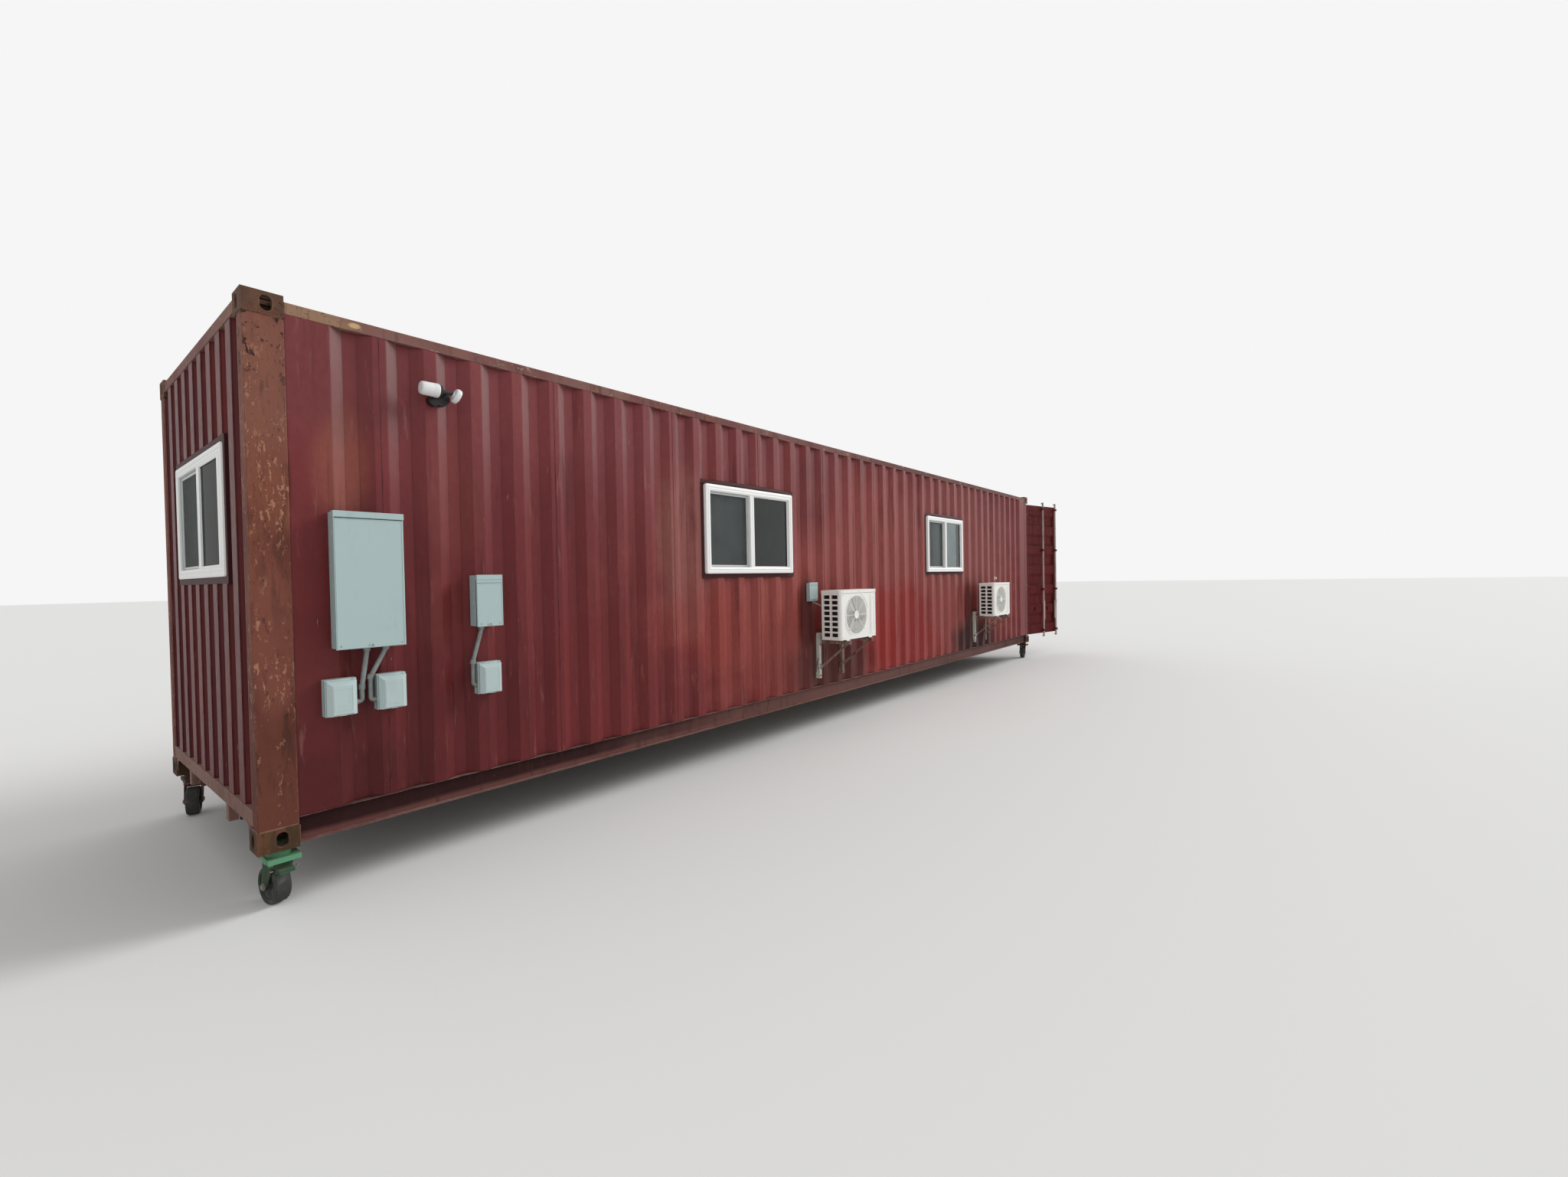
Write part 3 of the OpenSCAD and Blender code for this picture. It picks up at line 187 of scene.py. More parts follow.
@effect("Flakes", ("Mask", "Rim"), Scale=12.0, Share=0.3, Tall=1.0, Seed=0.0)
def flakes(tree, given):
    """Places where paint has come off, with a thin pale rim of lifted paint."""
    place = drawn_down(tree, given["Tall"], given["Seed"])
    coarse = noise(tree, place, given["Scale"], 9, 0.66, 0.3)
    level = maths(tree, "SUBTRACT", 1.0, given["Share"])
    bare = around(tree, coarse, level, 0.012)
    wide = steps(tree, coarse, maths(tree, "SUBTRACT", level, 0.035),
                 maths(tree, "SUBTRACT", level, 0.01))
    return bare, maths(tree, "SUBTRACT", wide, bare, clamp=True)


@effect("Edge wear", Width=0.006, Breakup=30.0)
def edge_wear(tree, given):
    """1 along the solid's own edges, broken up, 0 on its faces."""
    rounded = add(tree, "Bevel", {"Radius": given["Width"]}, samples=4).outputs[0]
    same = add(tree, "VectorMath", {0: rounded, 1: face_normal(tree)}, operation="DOT_PRODUCT")
    edge = steps(tree, maths(tree, "SUBTRACT", 1.0, same.outputs["Value"]), 0.01, 0.14)
    ragged = steps(tree, noise(tree, object_place(tree), given["Breakup"], 6, 0.7), 0.38, 0.6)
    return times(tree, edge, ragged)


@effect("Soft bends", ("Normal",), Radius=0.01)
def soft_bends(tree, given):
    """The surface's normal with its pressed bends rounded."""
    return add(tree, "Bevel", {"Radius": given["Radius"]}, samples=4).outputs[0]


@effect("Wear and painted light place", Middle=(0, 0, 0), Reach=(1, 1, 1), Ragged=0.5)
def wear_and_painted_light_place(tree, given):
    """One oval place on the object, with a ragged border."""
    away = vectors(tree, "SUBTRACT", object_place(tree), given["Middle"])
    scaled = vectors(tree, "DIVIDE", away, given["Reach"])
    far = add(tree, "VectorMath", {0: scaled}, operation="LENGTH").outputs["Value"]
    rough = maths(tree, "SUBTRACT", noise(tree, object_place(tree), 2.2, 6, 0.62), 0.5)
    ragged = maths(tree, "MULTIPLY_ADD", rough, given["Ragged"], far)
    return maths(tree, "SUBTRACT", 1.0, steps(tree, ragged, 0.5, 1.15))


@effect("Height band", Low=0.0, High=1.0)
def height_band(tree, given):
    """0 below one height of the frame, 1 above another."""
    up = parts_of(tree, object_place(tree))["Z"]
    return steps(tree, up, given["Low"], given["High"])


@effect("Grain", ("Value",), Scale=200.0, Stretch=(1, 1, 1))
def fine_grain(tree, given):
    """Fine unevenness of a sprayed, brushed or cast surface."""
    place = vectors(tree, "MULTIPLY", object_place(tree), given["Stretch"])
    return noise(tree, place, given["Scale"], 4, 0.6)


@effect("Settled dust and painted shade", Amount=0.5)
def dust_and_painted_shade_on_top(tree, given):
    """Dust on the faces that look up, thinner where they lean; the door paint lays painted shade
    there instead of dust.
    """
    faces_up = steps(tree, parts_of(tree, face_normal(tree))["Z"], 0.4, 0.95)
    cloud = steps(tree, noise(tree, object_place(tree), 3.0, 6, 0.65), 0.2, 0.75)
    return times(tree, faces_up, times(tree, cloud, given["Amount"]))


@effect("Faded slopes and painted sheen", Low=0.0, High=1.0)
def faded_and_painted_sheen_slopes(tree, given):
    """Faded paint and painted sheen on the slopes of a pressed wall that look to the door end, from
    a low to a high place.
    """
    slope = steps(tree, parts_of(tree, face_normal(tree))["X"], 0.2, 0.4)
    place = object_place(tree)
    up = steps(tree, parts_of(tree, place)["Z"], given["Low"], given["High"])
    cloud = steps(tree, noise(tree, place, 2.4, 6, 0.65), 0.15, 0.6)
    return times(tree, slope, times(tree, up, cloud))


def use(tree, group, **inputs):
    """Puts an effect in a material. Returns its outputs."""
    return add(tree, "Group", inputs, node_tree=group).outputs


def laid(tree, paint, tone, strength, group, **inputs):
    """The paint with a tone laid over it where an effect is, at a strength."""
    mask = use(tree, group, **inputs)["Mask"]
    return blend(tree, times(tree, mask, strength), paint, tone)


def material_maker(paint):
    """Turns a function that gives a shader its looks into one that returns a named material."""
    def make(name, *looks, **more_looks):
        material = bpy.data.materials.new(name)
        material.use_nodes = True
        tree = material.node_tree
        shader = next(node for node in tree.nodes if node.type == "BSDF_PRINCIPLED")
        paint(tree, shader.inputs, *looks, **more_looks)
        return material
    return make


def coat(tree, shader, tone, unevenness, smoothest, roughest, gloss=0.5):
    """Gives a shader its tone, a roughness between two values, and its gloss."""
    tree.links.new(tone, shader["Base Color"])
    tree.links.new(between(tree, unevenness, smoothest, roughest), shader["Roughness"])
    shader["Specular IOR Level"].default_value = gloss


def bump(tree, shader, height, strength, distance, bends=0.0):
    """Relief from a height, over bends that are rounded to a radius."""
    inputs = {"Height": height, "Strength": strength, "Distance": distance}
    if bends:
        inputs["Normal"] = use(tree, soft_bends, Radius=bends)["Normal"]
    tree.links.new(add(tree, "Bump", inputs).outputs[0], shader["Normal"])


# Finishes

maroon = (113, 34, 36)
maroon_deep = (76, 24, 26)
maroon_mauve = (128, 67, 70)
brick = (134, 50, 43)
# Grey of fading and painted sheen on the slopes that face the door end
slope_fade_and_sheen_grey = (120, 100, 97)
rust_brown = (104, 62, 46)
rust_orange = (134, 84, 56)
rust_dark = (56, 35, 28)
primer_pink = (166, 124, 114)
dust = (150, 128, 118)


def with_wear_and_painted_light_places(tree, paint, places):
    """Lays each place over the paint, in its tone and strength: worn paint and stains, and also
    painted shade and painted light.
    """
    for centre, reach, tone, strength, ragged in places:
        paint = laid(tree, paint, tone, strength, wear_and_painted_light_place, Middle=centre, Reach=reach,
                     Ragged=ragged)
    return paint


@material_maker
def shell_finish(tree, shader, faded, deep, chips, worn_places=(), dust_amount=0.5,
                 base=maroon, faded_tone=maroon_mauve, edge_share=0.4, dust_tone=dust,
                 roughness=(0.34, 0.6), gloss=0.2, slope_share=0.0):
    """Container paint: faded in patches and higher up, streaked by rain, scratched to primer, with
    painted sheen on the slopes that face the door end and painted shade and light in its places.
    """
    shade = use(tree, blotches, Scale=0.55, Share=faded, Softness=0.16, Stretch=(1, 1, 0.55))
    high = use(tree, height_band, Low=on_shell(0, 0, 0.7).z, High=on_shell(0, 0, 2.5).z)
    fade = maths(tree, "MULTIPLY_ADD", high["Mask"], 0.48, times(tree, shade["Mask"], 0.35))
    paint = blend(tree, fade, base, faded_tone)
    paint = laid(tree, paint, brick, 0.3, blotches, Scale=1.3, Share=0.44, Softness=0.14,
                 Stretch=(1.6, 1, 0.5))
    paint = with_wear_and_painted_light_places(tree, paint, worn_places)
    # Faded paint and painted sheen: grey on the slopes that face the door end, higher up
    paint = laid(tree, paint, slope_fade_and_sheen_grey, slope_share, faded_and_painted_sheen_slopes, Low=on_shell(0, 0, 1.7).z,
                 High=on_shell(0, 0, 2.8).z)
    paint = laid(tree, paint, maroon_deep, 0.5, streaks, Spacing=9.0, Length=1.4, Share=deep)
    paint = laid(tree, paint, primer_pink, 0.22, streaks, Spacing=30.0, Length=0.8, Share=0.33,
                 Seed=4.0)
    mottle = use(tree, fine_grain, Scale=34.0, Stretch=(1, 1, 0.5))["Value"]
    paint = add(tree, "Mix", {0: 0.2, 6: paint, 7: mottle}, data_type="RGBA",
                blend_type="OVERLAY").outputs[2]
    paint = laid(tree, paint, primer_pink, 0.62, flakes, Scale=46.0, Share=chips, Tall=9.0)
    specks = use(tree, flakes, Scale=30.0, Share=chips - 0.02, Tall=1.6, Seed=9.0)["Mask"]
    paint = blend(tree, times(tree, specks, 0.8), paint, rust_brown)
    paint = laid(tree, paint, primer_pink, edge_share, edge_wear, Width=0.007, Breakup=5.0)
    # Settled dust on faces that look up; where the tone is dark, as on the doors, this is painted
    # shade
    paint = laid(tree, paint, dust_tone, 1.0, dust_and_painted_shade_on_top, Amount=dust_amount)
    coat(tree, shader, paint, mottle, *roughness, gloss)
    dents = use(tree, fine_grain, Scale=3.2)["Value"]
    fine = use(tree, fine_grain, Scale=240.0)["Value"]
    height = maths(tree, "MULTIPLY_ADD", dents, 6.0, fine)
    height = maths(tree, "MULTIPLY_ADD", specks, -0.8, height)
    bump(tree, shader, height, 0.25, 0.0012, bends=0.012)


@material_maker
def corner_finish(tree, shader, base, bare, share, tall, warm=0.5, edge=primer_pink,
                  edge_share=0.6, patch=rust_brown, worn_places=(), flake_scale=15.0,
                  flake_strength=0.8, scattered=False, spotted_from=None):
    """Old paint on thick steel, flaking down to brown and orange rust, spotted above a height."""
    cloud = use(tree, blotches, Scale=2.2, Share=0.5, Softness=0.16, Stretch=(1, 1, 0.4))
    paint = blend(tree, cloud["Mask"], base, bare)
    paint = laid(tree, paint, rust_orange, warm, blotches, Scale=6.0, Share=0.44, Softness=0.12,
                 Stretch=(1.5, 1.5, 0.35))
    paint = with_wear_and_painted_light_places(tree, paint, worn_places)
    paint = laid(tree, paint, rust_dark, 0.45, streaks, Spacing=24.0, Length=0.5, Share=0.42,
                 Seed=5.0)
    if spotted_from is not None:
        above = use(tree, height_band, Low=spotted_from, High=spotted_from + 0.3)["Mask"]
        paint = laid(tree, paint, rust_dark, above, flakes, Scale=19.0, Share=0.43, Tall=1.2,
                     Seed=12.0)
    big = use(tree, flakes, Scale=flake_scale, Share=share, Tall=tall)
    paint = blend(tree, times(tree, big["Rim"], 0.3), paint, rust_dark)
    paint = blend(tree, times(tree, big["Mask"], flake_strength), paint, patch)
    if scattered:
        cluster = use(tree, blotches, Scale=1.8, Share=0.5, Softness=0.06, Stretch=(1.4, 1, 0.6))
        paint = laid(tree, paint, patch, cluster["Mask"], flakes, Scale=52.0, Share=share + 0.02,
                     Tall=2.4, Seed=15.0)
    small = use(tree, flakes, Scale=44.0, Share=share * 0.9, Tall=tall, Seed=3.0)["Mask"]
    paint = blend(tree, times(tree, small, 0.6), paint, rust_dark)
    paint = laid(tree, paint, primer_pink, 0.5, flakes, Scale=60.0, Share=share * 0.82, Tall=tall,
                 Seed=8.0)
    paint = laid(tree, paint, edge, edge_share, edge_wear, Width=0.011, Breakup=14.0)
    paint = laid(tree, paint, dust, 1.0, dust_and_painted_shade_on_top, Amount=0.5)
    fine = use(tree, fine_grain, Scale=160.0)["Value"]
    coat(tree, shader, paint, fine, 0.55, 0.9, 0.18)
    height = maths(tree, "MULTIPLY_ADD", big["Mask"], -1.2, fine)
    height = maths(tree, "MULTIPLY_ADD", small, -0.8, height)
    bump(tree, shader, height, 0.6, 0.0025)


@material_maker
def coated_finish(tree, shader, base, dirt, roughness, dirt_share=0.35, worn=None, gloss=0.5):
    """Sheet metal or plastic with a thin even coat, grime in patches and down-runs."""
    paint = laid(tree, base, dirt, 0.3, blotches, Scale=5.0, Share=dirt_share, Softness=0.2,
                 Stretch=(1, 1, 0.6))
    paint = laid(tree, paint, dirt, 0.22, streaks, Spacing=30.0, Length=0.35, Share=0.36, Seed=2.0)
    if worn:
        paint = laid(tree, paint, worn, 0.6, edge_wear, Width=0.003, Breakup=60.0)
    paint = laid(tree, paint, dirt, 1.0, dust_and_painted_shade_on_top, Amount=0.3)
    fine = use(tree, fine_grain, Scale=300.0)["Value"]
    coat(tree, shader, paint, fine, roughness - 0.08, roughness + 0.1, gloss)
    bump(tree, shader, fine, 0.12, 0.0006)


@material_maker
def bare_metal_finish(tree, shader, base, dull, roughness, rusty=0.3):
    """Galvanised or mill steel: spangle, dull spots and a little rust."""
    spangle = add(tree, "TexVoronoi", {"Vector": object_place(tree), "Scale": 40.0})
    grey = add(tree, "SeparateColor", {0: spangle.outputs["Color"]}).outputs[0]
    tone = blend(tree, times(tree, grey, 0.35), base, dull)
    tone = laid(tree, tone, rust_brown, 0.6, flakes, Scale=20.0, Share=rusty, Tall=1.4, Seed=7.0)
    coat(tree, shader, tone, grey, roughness - 0.08, roughness + 0.12)
    shader["Metallic"].default_value = 0.35
    bump(tree, shader, use(tree, fine_grain, Scale=120.0)["Value"], 0.15, 0.001)


@material_maker
def rubber_finish(tree, shader, base, scuff):
    tone = laid(tree, base, scuff, 0.6, blotches, Scale=14.0, Share=0.42, Softness=0.12)
    tone = laid(tree, tone, scuff, 1.0, dust_and_painted_shade_on_top, Amount=0.4)
    fine = use(tree, fine_grain, Scale=260.0)["Value"]
    coat(tree, shader, tone, fine, 0.7, 0.9)
    bump(tree, shader, fine, 0.3, 0.001)


@material_maker
def floor_board_finish(tree, shader):
    """Worn plywood boards: sheet joints, grain along the cabin, scuffs."""
    place = object_place(tree)
    grain = noise(tree, vectors(tree, "MULTIPLY", place, (0.35, 6.0, 6.0)), 9.0, 8, 0.65, 0.6)
    tone = blend(tree, grain, (112, 84, 58), (150, 118, 84))
    tone = laid(tree, tone, (84, 70, 56), 0.5, blotches, Scale=2.0, Share=0.45, Softness=0.16)
    parts = parts_of(tree, place)
    joint_width, sheets = 0.003, (("X", 2.4), ("Y", 1.16))
    gaps = [maths(tree, "LESS_THAN", maths(tree, "PINGPONG", parts[axis], pitch / 2), joint_width)
            for axis, pitch in sheets]
    gap = maths(tree, "MAXIMUM", *gaps)
    tone = blend(tree, times(tree, gap, 0.8), tone, (40, 32, 26))
    coat(tree, shader, tone, grain, 0.62, 0.82)
    bump(tree, shader, maths(tree, "MULTIPLY_ADD", gap, -2.0, grain), 0.2, 0.001)


@material_maker
def glass_finish(tree, shader, clear, filmed, ior):
    """Dark greenish sheet glass with a film of dust."""
    film = use(tree, blotches, Scale=3.0, Share=0.5, Softness=0.25)["Mask"]
    coat(tree, shader, blend(tree, film, clear, filmed), film, 0.02, 0.07)
    shader["Transmission Weight"].default_value = 1.0
    shader["IOR"].default_value = ior


@material_maker
def screen_finish(tree, shader):
    """Insect screen: thin dark wires woven both ways, with air between them."""
    parts = parts_of(tree, object_place(tree))
    half_mesh, half_wire = 0.0008, 0.0002
    wires = [maths(tree, "LESS_THAN", maths(tree, "PINGPONG", way, half_mesh), half_wire)
             for way in (maths(tree, "ADD", parts["X"], parts["Y"]), parts["Z"])]
    cloud = use(tree, blotches, Scale=4.0, Share=0.5, Softness=0.3)["Mask"]
    coat(tree, shader, blend(tree, cloud, (66, 72, 72), (92, 98, 97)), cloud, 0.6, 0.8)
    tree.links.new(between(tree, maths(tree, "MAXIMUM", *wires), 0.34, 0.58), shader["Alpha"])


def side_place(x, z, reach_x, reach_z, tone, strength, ragged=0.9):
    """A place on the near side, counted along and up the shell: worn paint and stains, and also
    painted shade and painted light.
    """
    return (on_shell(x, 0.02, z), (reach_x, 0.6, reach_z), tone, strength, ragged)


near_side_places = [side_place(*place) for place in (
    # Painted shade: the near side darker towards the blind end
    (1.0, 0.7, 3.0, 1.8, (90, 26, 29), 0.5),
    (7.2, 1.2, 4.6, 1.7, (158, 84, 78), 0.62),
    (4.4, 0.8, 1.6, 0.8, (146, 68, 58), 0.45, 1.3),
    (6.9, 0.62, 1.4, 0.75, (144, 30, 24), 0.6, 1.8),
    (6.3, 0.45, 0.7, 0.4, (152, 36, 30), 0.45, 1.8),
    (4.86, 2.25, 0.5, 0.6, maroon_deep, 0.32, 1.3),
    (3.0, 1.6, 0.35, 0.9, (152, 100, 92), 0.45),
    (9.3, 2.0, 2.4, 1.0, (140, 84, 80), 0.5),
    # Painted shade in the low corner by the corner post
    (0.5, 0.5, 1.3, 0.7, maroon_deep, 0.45),
    (1.0, 1.95, 0.22, 0.5, (124, 66, 58), 0.25, 1.4),
    (0.42, 2.05, 0.16, 0.35, (150, 88, 68), 0.45, 1.3),
    (0.95, 1.2, 0.2, 0.3, (128, 68, 60), 0.22, 1.4),
    (2.75, 1.8, 0.1, 0.4, (136, 82, 70), 0.4, 1.4),
    (3.2, 0.95, 0.6, 0.45, brick, 0.45, 1.2),
    # Painted shadow on the wall under the first cooling unit
    (5.3, 0.36, 1.0, 0.44, (60, 32, 30), 0.78, 0.9),
    # Painted shade at the foot of the wall by the corner post
    (0.3, 0.25, 0.7, 0.3, (66, 20, 22), 0.5),
    (0.25, 0.85, 0.3, 0.3, (112, 48, 46), 0.4),
    (0.4, 2.55, 0.8, 0.4, (92, 48, 50), 0.3),
    # Painted shade on the wall behind the first unit, beside its bracket upright
    (4.76, 0.92, 0.17, 0.5, (46, 15, 16), 0.7, 0.5),
    # Painted shadow on the wall under the second cooling unit
    (9.5, 0.3, 1.0, 0.4, (42, 20, 18), 0.9, 0.8),
    # Painted shade on the wall behind the second unit, beside its bracket upright
    (9.18, 0.92, 0.16, 0.45, (46, 16, 16), 0.6, 0.5))]
post_places = [
    side_place(0.0, 0.3, 0.6, 1.1, (88, 46, 37), 0.65),
    side_place(0.0, 2.5, 0.6, 0.5, (136, 92, 78), 0.5),
    side_place(0.1, 1.1, 0.12, 0.5, (140, 84, 70), 0.5, 0.5)]
top_rail_places = [
    side_place(0.2, 2.84, 0.3, 0.3, (166, 138, 108), 0.6, 1.3),
    side_place(0.5, 2.838, 0.03, 0.017, (200, 172, 122), 0.9, 2.4),
    side_place(8.6, 2.84, 3.2, 0.3, (92, 50, 48), 0.7, 0.5)]
low_rail_painted_light_and_wear_places = [
    # Painted shade over the near end of the bottom rail
    side_place(0.6, 0.1, 2.8, 0.4, (36, 8, 10), 0.85, 0.3),
    # Painted light over the far end of the bottom rail, towards the bright door end
    side_place(6.9, 0.1, 4.6, 0.4, (112, 78, 72), 0.72, 0.7),
    side_place(2.0, 0.01, 6.0, 0.055, (116, 74, 68), 0.7, 0.4)]

# The pale left upright of each pair of brackets
bracket_bar = 0.040
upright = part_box("unit_brackets")[0].x + bracket_bar / 2
unit_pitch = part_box("right_unit_fan")[0].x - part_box("left_unit_fan")[0].x
upright_place = on_shell(0, -0.02, 0.45)
bracket_places = [((x, upright_place.y, upright_place.z), (0.05, 0.06, 0.8), (206, 208, 196),
                   0.9, 0.1) for x in (upright, upright + unit_pitch)]
plate_places = [(on_shell(0.09, 0.09, -0.02), (0.7, 0.7, 0.7), (90, 150, 112), 1.0, 0.0)]

finishes = {
    "near_side": shell_finish("near side paint", 0.5, 0.40, 0.3, near_side_places,
                              slope_share=0.46),
    "far_side": shell_finish("far side paint", 0.48, 0.38, 0.31, slope_share=0.4),
    # Painted shade: the blind end's paint is a darker copy of the side paint, for the end that
    # faces away from the light
    "blind_end": shell_finish("blind end paint", 0.4, 0.42, 0.31, base=(92, 30, 31),
                              faded_tone=(100, 46, 48)),
    "roof": shell_finish("roof paint", 0.5, 0.3, 0.33, dust_amount=0.75),
    # Painted shade: the dark tone laid on faces that look up dulls the lit upper slopes of the door
    # pressings; it is not dust
    "doors": shell_finish("door paint", 0.3, 0.4, 0.31, dust_amount=2.2, base=(92, 40, 42),
                          faded_tone=(106, 56, 57), edge_share=0.05, dust_tone=(30, 8, 11),
                          roughness=(0.75, 0.9), gloss=0.03),
    "door_frame": shell_finish("door frame paint", 0.4, 0.4, 0.32, base=(98, 40, 38)),
    "low_casting": corner_finish("rusty low casting steel", (58, 42, 28), (70, 52, 34), 0.42, 1.2,
                                 0.4, (112, 88, 70)),
    "casting": corner_finish("rusty casting steel", (84, 60, 50), (98, 72, 56), 0.42, 1.2, 0.4,
                             (140, 112, 94)),
    "post": corner_finish("flaking post steel", (104, 54, 46), (118, 68, 56), 0.395, 2.8, 0.35,
                          (160, 124, 106), patch=(160, 114, 90), worn_places=post_places,
                          flake_scale=27.0, flake_strength=0.5, scattered=True,
                          spotted_from=on_shell(0, 0, 2.3).z),
    "rails": corner_finish("worn rail paint", (112, 66, 66), (128, 92, 86), 0.4, 0.6, 0.2,
                           patch=(158, 128, 108), worn_places=top_rail_places),
    # The bottom rail's dark base is partly painted shade
    "low_rails": corner_finish("dark rail paint", (58, 23, 24), (72, 35, 34), 0.3, 0.6, 0.12,
                               (138, 104, 98), 0.75, worn_places=low_rail_painted_light_and_wear_places),
    # Painted shade and sealant: a dark tone for the surround round the window frames and their
    # flashings, where shade falls round the frames
    "surround": coated_finish("dark sealed surround", (60, 22, 24), (86, 44, 40), 0.6, 0.4,
                              gloss=0.2),
    "bracket": corner_finish("dusty bracket steel", (150, 128, 118), (120, 94, 84), 0.4, 1.4, 0.2,
                             (176, 164, 154), worn_places=bracket_places),
    "conduit": bare_metal_finish("grey conduit", (134, 138, 136), (104, 104, 102), 0.5),
    "sill": corner_finish("worn sill paint", (122, 90, 82), (138, 108, 98), 0.36, 0.7, 0.3),
    "under": coated_finish("undercoating", (38, 34, 33), (84, 66, 54), 0.75, 0.5),
    "boards": floor_board_finish("worn floor boards"),
    "white_frame": coated_finish("white window frame", (244, 244, 243), (196, 192, 184), 0.4, 0.2),
    "sash": coated_finish("grey sash", (206, 210, 208), (160, 160, 156), 0.4, 0.3),
    "glass": glass_finish("side window glass", (88, 104, 102), (112, 126, 124), 1.5),
    # Painted shade: the end glass is tinted darker than the side glass, to keep the pane dark where
    # light comes through the cabin
    "end_glass": glass_finish("end window glass", (58, 62, 62), (76, 80, 80), 1.035),
    "screen": screen_finish("insect screen"),
    "unit": coated_finish("cooling unit enamel", (240, 239, 234), (192, 186, 174), 0.4, 0.25),
    "fan": coated_finish("fan plastic", (132, 134, 128), (96, 94, 88), 0.5, 0.4),
    "fins": bare_metal_finish("coil fins", (46, 48, 48), (22, 23, 24), 0.5, 0.2),
    "bolts": bare_metal_finish("bolt steel", (142, 138, 132), (96, 90, 84), 0.4, 0.36),
    "rods": corner_finish("worn rod paint", (174, 154, 150), (188, 174, 168), 0.36, 2.0, 0.2),
    "box": coated_finish("box enamel", (168, 189, 188), (144, 160, 158), 0.42, 0.3,
                         (208, 220, 218)),
    "box_plastic": coated_finish("outlet cover plastic", (176, 194, 193), (146, 160, 160), 0.45,
                                 0.3, (214, 222, 221)),
    "lamp_black": coated_finish("black lamp plastic", (28, 28, 28), (60, 56, 52), 0.4, 0.3),
    "lamp_white": coated_finish("white lamp plastic", (226, 228, 228), (196, 194, 188), 0.35, 0.2),
    "lens": coated_finish("lamp lens", (214, 218, 214), (180, 182, 176), 0.2, 0.2),
    "seal": rubber_finish("door rubber", (26, 25, 25), (78, 70, 66)),
    "fork_green": corner_finish("dark green fork paint", (38, 66, 50), (52, 84, 62), 0.34, 1.0, 0.2,
                                (96, 110, 96)),
    "caster_red": corner_finish("worn caster steel", (64, 30, 30), (84, 46, 42), 0.34, 1.0, 0.2),
    "plates": corner_finish("painted caster plates", (64, 34, 32), (84, 50, 44), 0.3, 1.0, 0.12,
                            (126, 132, 116), worn_places=plate_places),
    "tread": rubber_finish("caster tread", (46, 48, 46), (92, 92, 86)),
}

nodes_of_finish = {
    "casting": "top_corner_castings", "low_casting": "under_corner_castings",
    "post": "front_corner_posts", "rails": "top_side_rails front_header",
    "door_frame": "rear_corner_posts door_header door_sill door_keepers",
    "low_rails": "bottom_side_rails", "sill": "front_sill sill_plates",
    "near_side": "near_side_wall", "far_side": "far_side_wall", "blind_end": "front_end_wall",
    "roof": "roof_sheet", "boards": "floor_boards",
    "under": "cross_members tunnel_plate tunnel_sides", "surround": "window_surrounds",
    "white_frame": "window_frames", "sash": "window_sashes", "glass": "window_glass",
    "unit": "unit_casings fan_guards", "fan": "left_unit_fan right_unit_fan",
    "bracket": "unit_brackets", "box": "disconnect_box main_panel sub_panel",
    "box_plastic": "outlet_boxes", "conduit": "power_whip conduits",
    "lamp_black": "lamp_base", "lamp_white": "lamp_heads",
    "doors": "near_door_leaf far_door_leaf", "seal": "near_door_seal far_door_seal",
    "rods": "near_door_rod_1 near_door_rod_2 far_door_rod_1 far_door_rod_2",
    "plates": "caster_plates", "fork_green": "near_left_fork",
    "caster_red": "near_right_fork far_left_fork far_right_fork",
    "tread": "near_left_wheel near_right_wheel far_left_wheel far_right_wheel",
}
for finish, names in nodes_of_finish.items():
    for name in names.split():
        for material_slot in nodes[name].material_slots:
            material_slot.material = finishes[finish]


# Drawing pieces

NEAR_SIDE = ((1, 0, 0), (0, 0, 1), (0, -1, 0))
BLIND_END = ((0, -1, 0), (0, 0, 1), (-1, 0, 0))
DOOR_END = ((0, 1, 0), (0, 0, 1), (1, 0, 0))
UPWARDS = ((1, 0, 0), (0, 1, 0), (0, 0, 1))
DOWNWARDS = ((1, 0, 0), (0, -1, 0), (0, 0, -1))

# Bends sharper than these show as an edge, or are rounded
SHARP_BEND, ROUNDED_BEND = math.radians(32), math.radians(38)


def placing(origin, axes):
    """Takes u, v and w of a face into the frame, counted from a place."""
    return Matrix.Translation(origin) @ Matrix(axes).transposed().to_4x4()


def solids(node):
    """The lowest and highest corner of each separate solid of a node, in order of x, y and z."""
    mesh = bmesh.new()
    mesh.from_mesh(nodes[node].data)
    bmesh.ops.remove_doubles(mesh, verts=mesh.verts, dist=1e-5)
    left, boxes = set(mesh.verts), []
    while left:
        reached = [left.pop()]
        for vertex in reached:
            near = [edge.other_vert(vertex) for edge in vertex.link_edges]
            reached += [other for other in near if other in left]
            left.difference_update(near)
        places = [vertex.co for vertex in reached]
        boxes.append([Vector(pick(place[axis] for place in places) for axis in range(3))
                      for pick in (min, max)])
    mesh.free()
    return sorted(boxes, key=lambda box: [round(value, 3) for value in box[0]])


def seen_from(at, box):
    """A box of the frame in the axes of a face: its lowest and highest corner there."""
    corners = [at.inverted() @ corner for corner in box]
    return [Vector(pick(corner[axis] for corner in corners) for axis in range(3))
            for pick in (min, max)]


def middle(box):
    return (box[0] + box[1]) / 2


def near_face(box):
    """The face of a box to the near side: its place and axes, its width and its height."""
    return placing(box[0], NEAR_SIDE), box[1].x - box[0].x, box[1].z - box[0].z


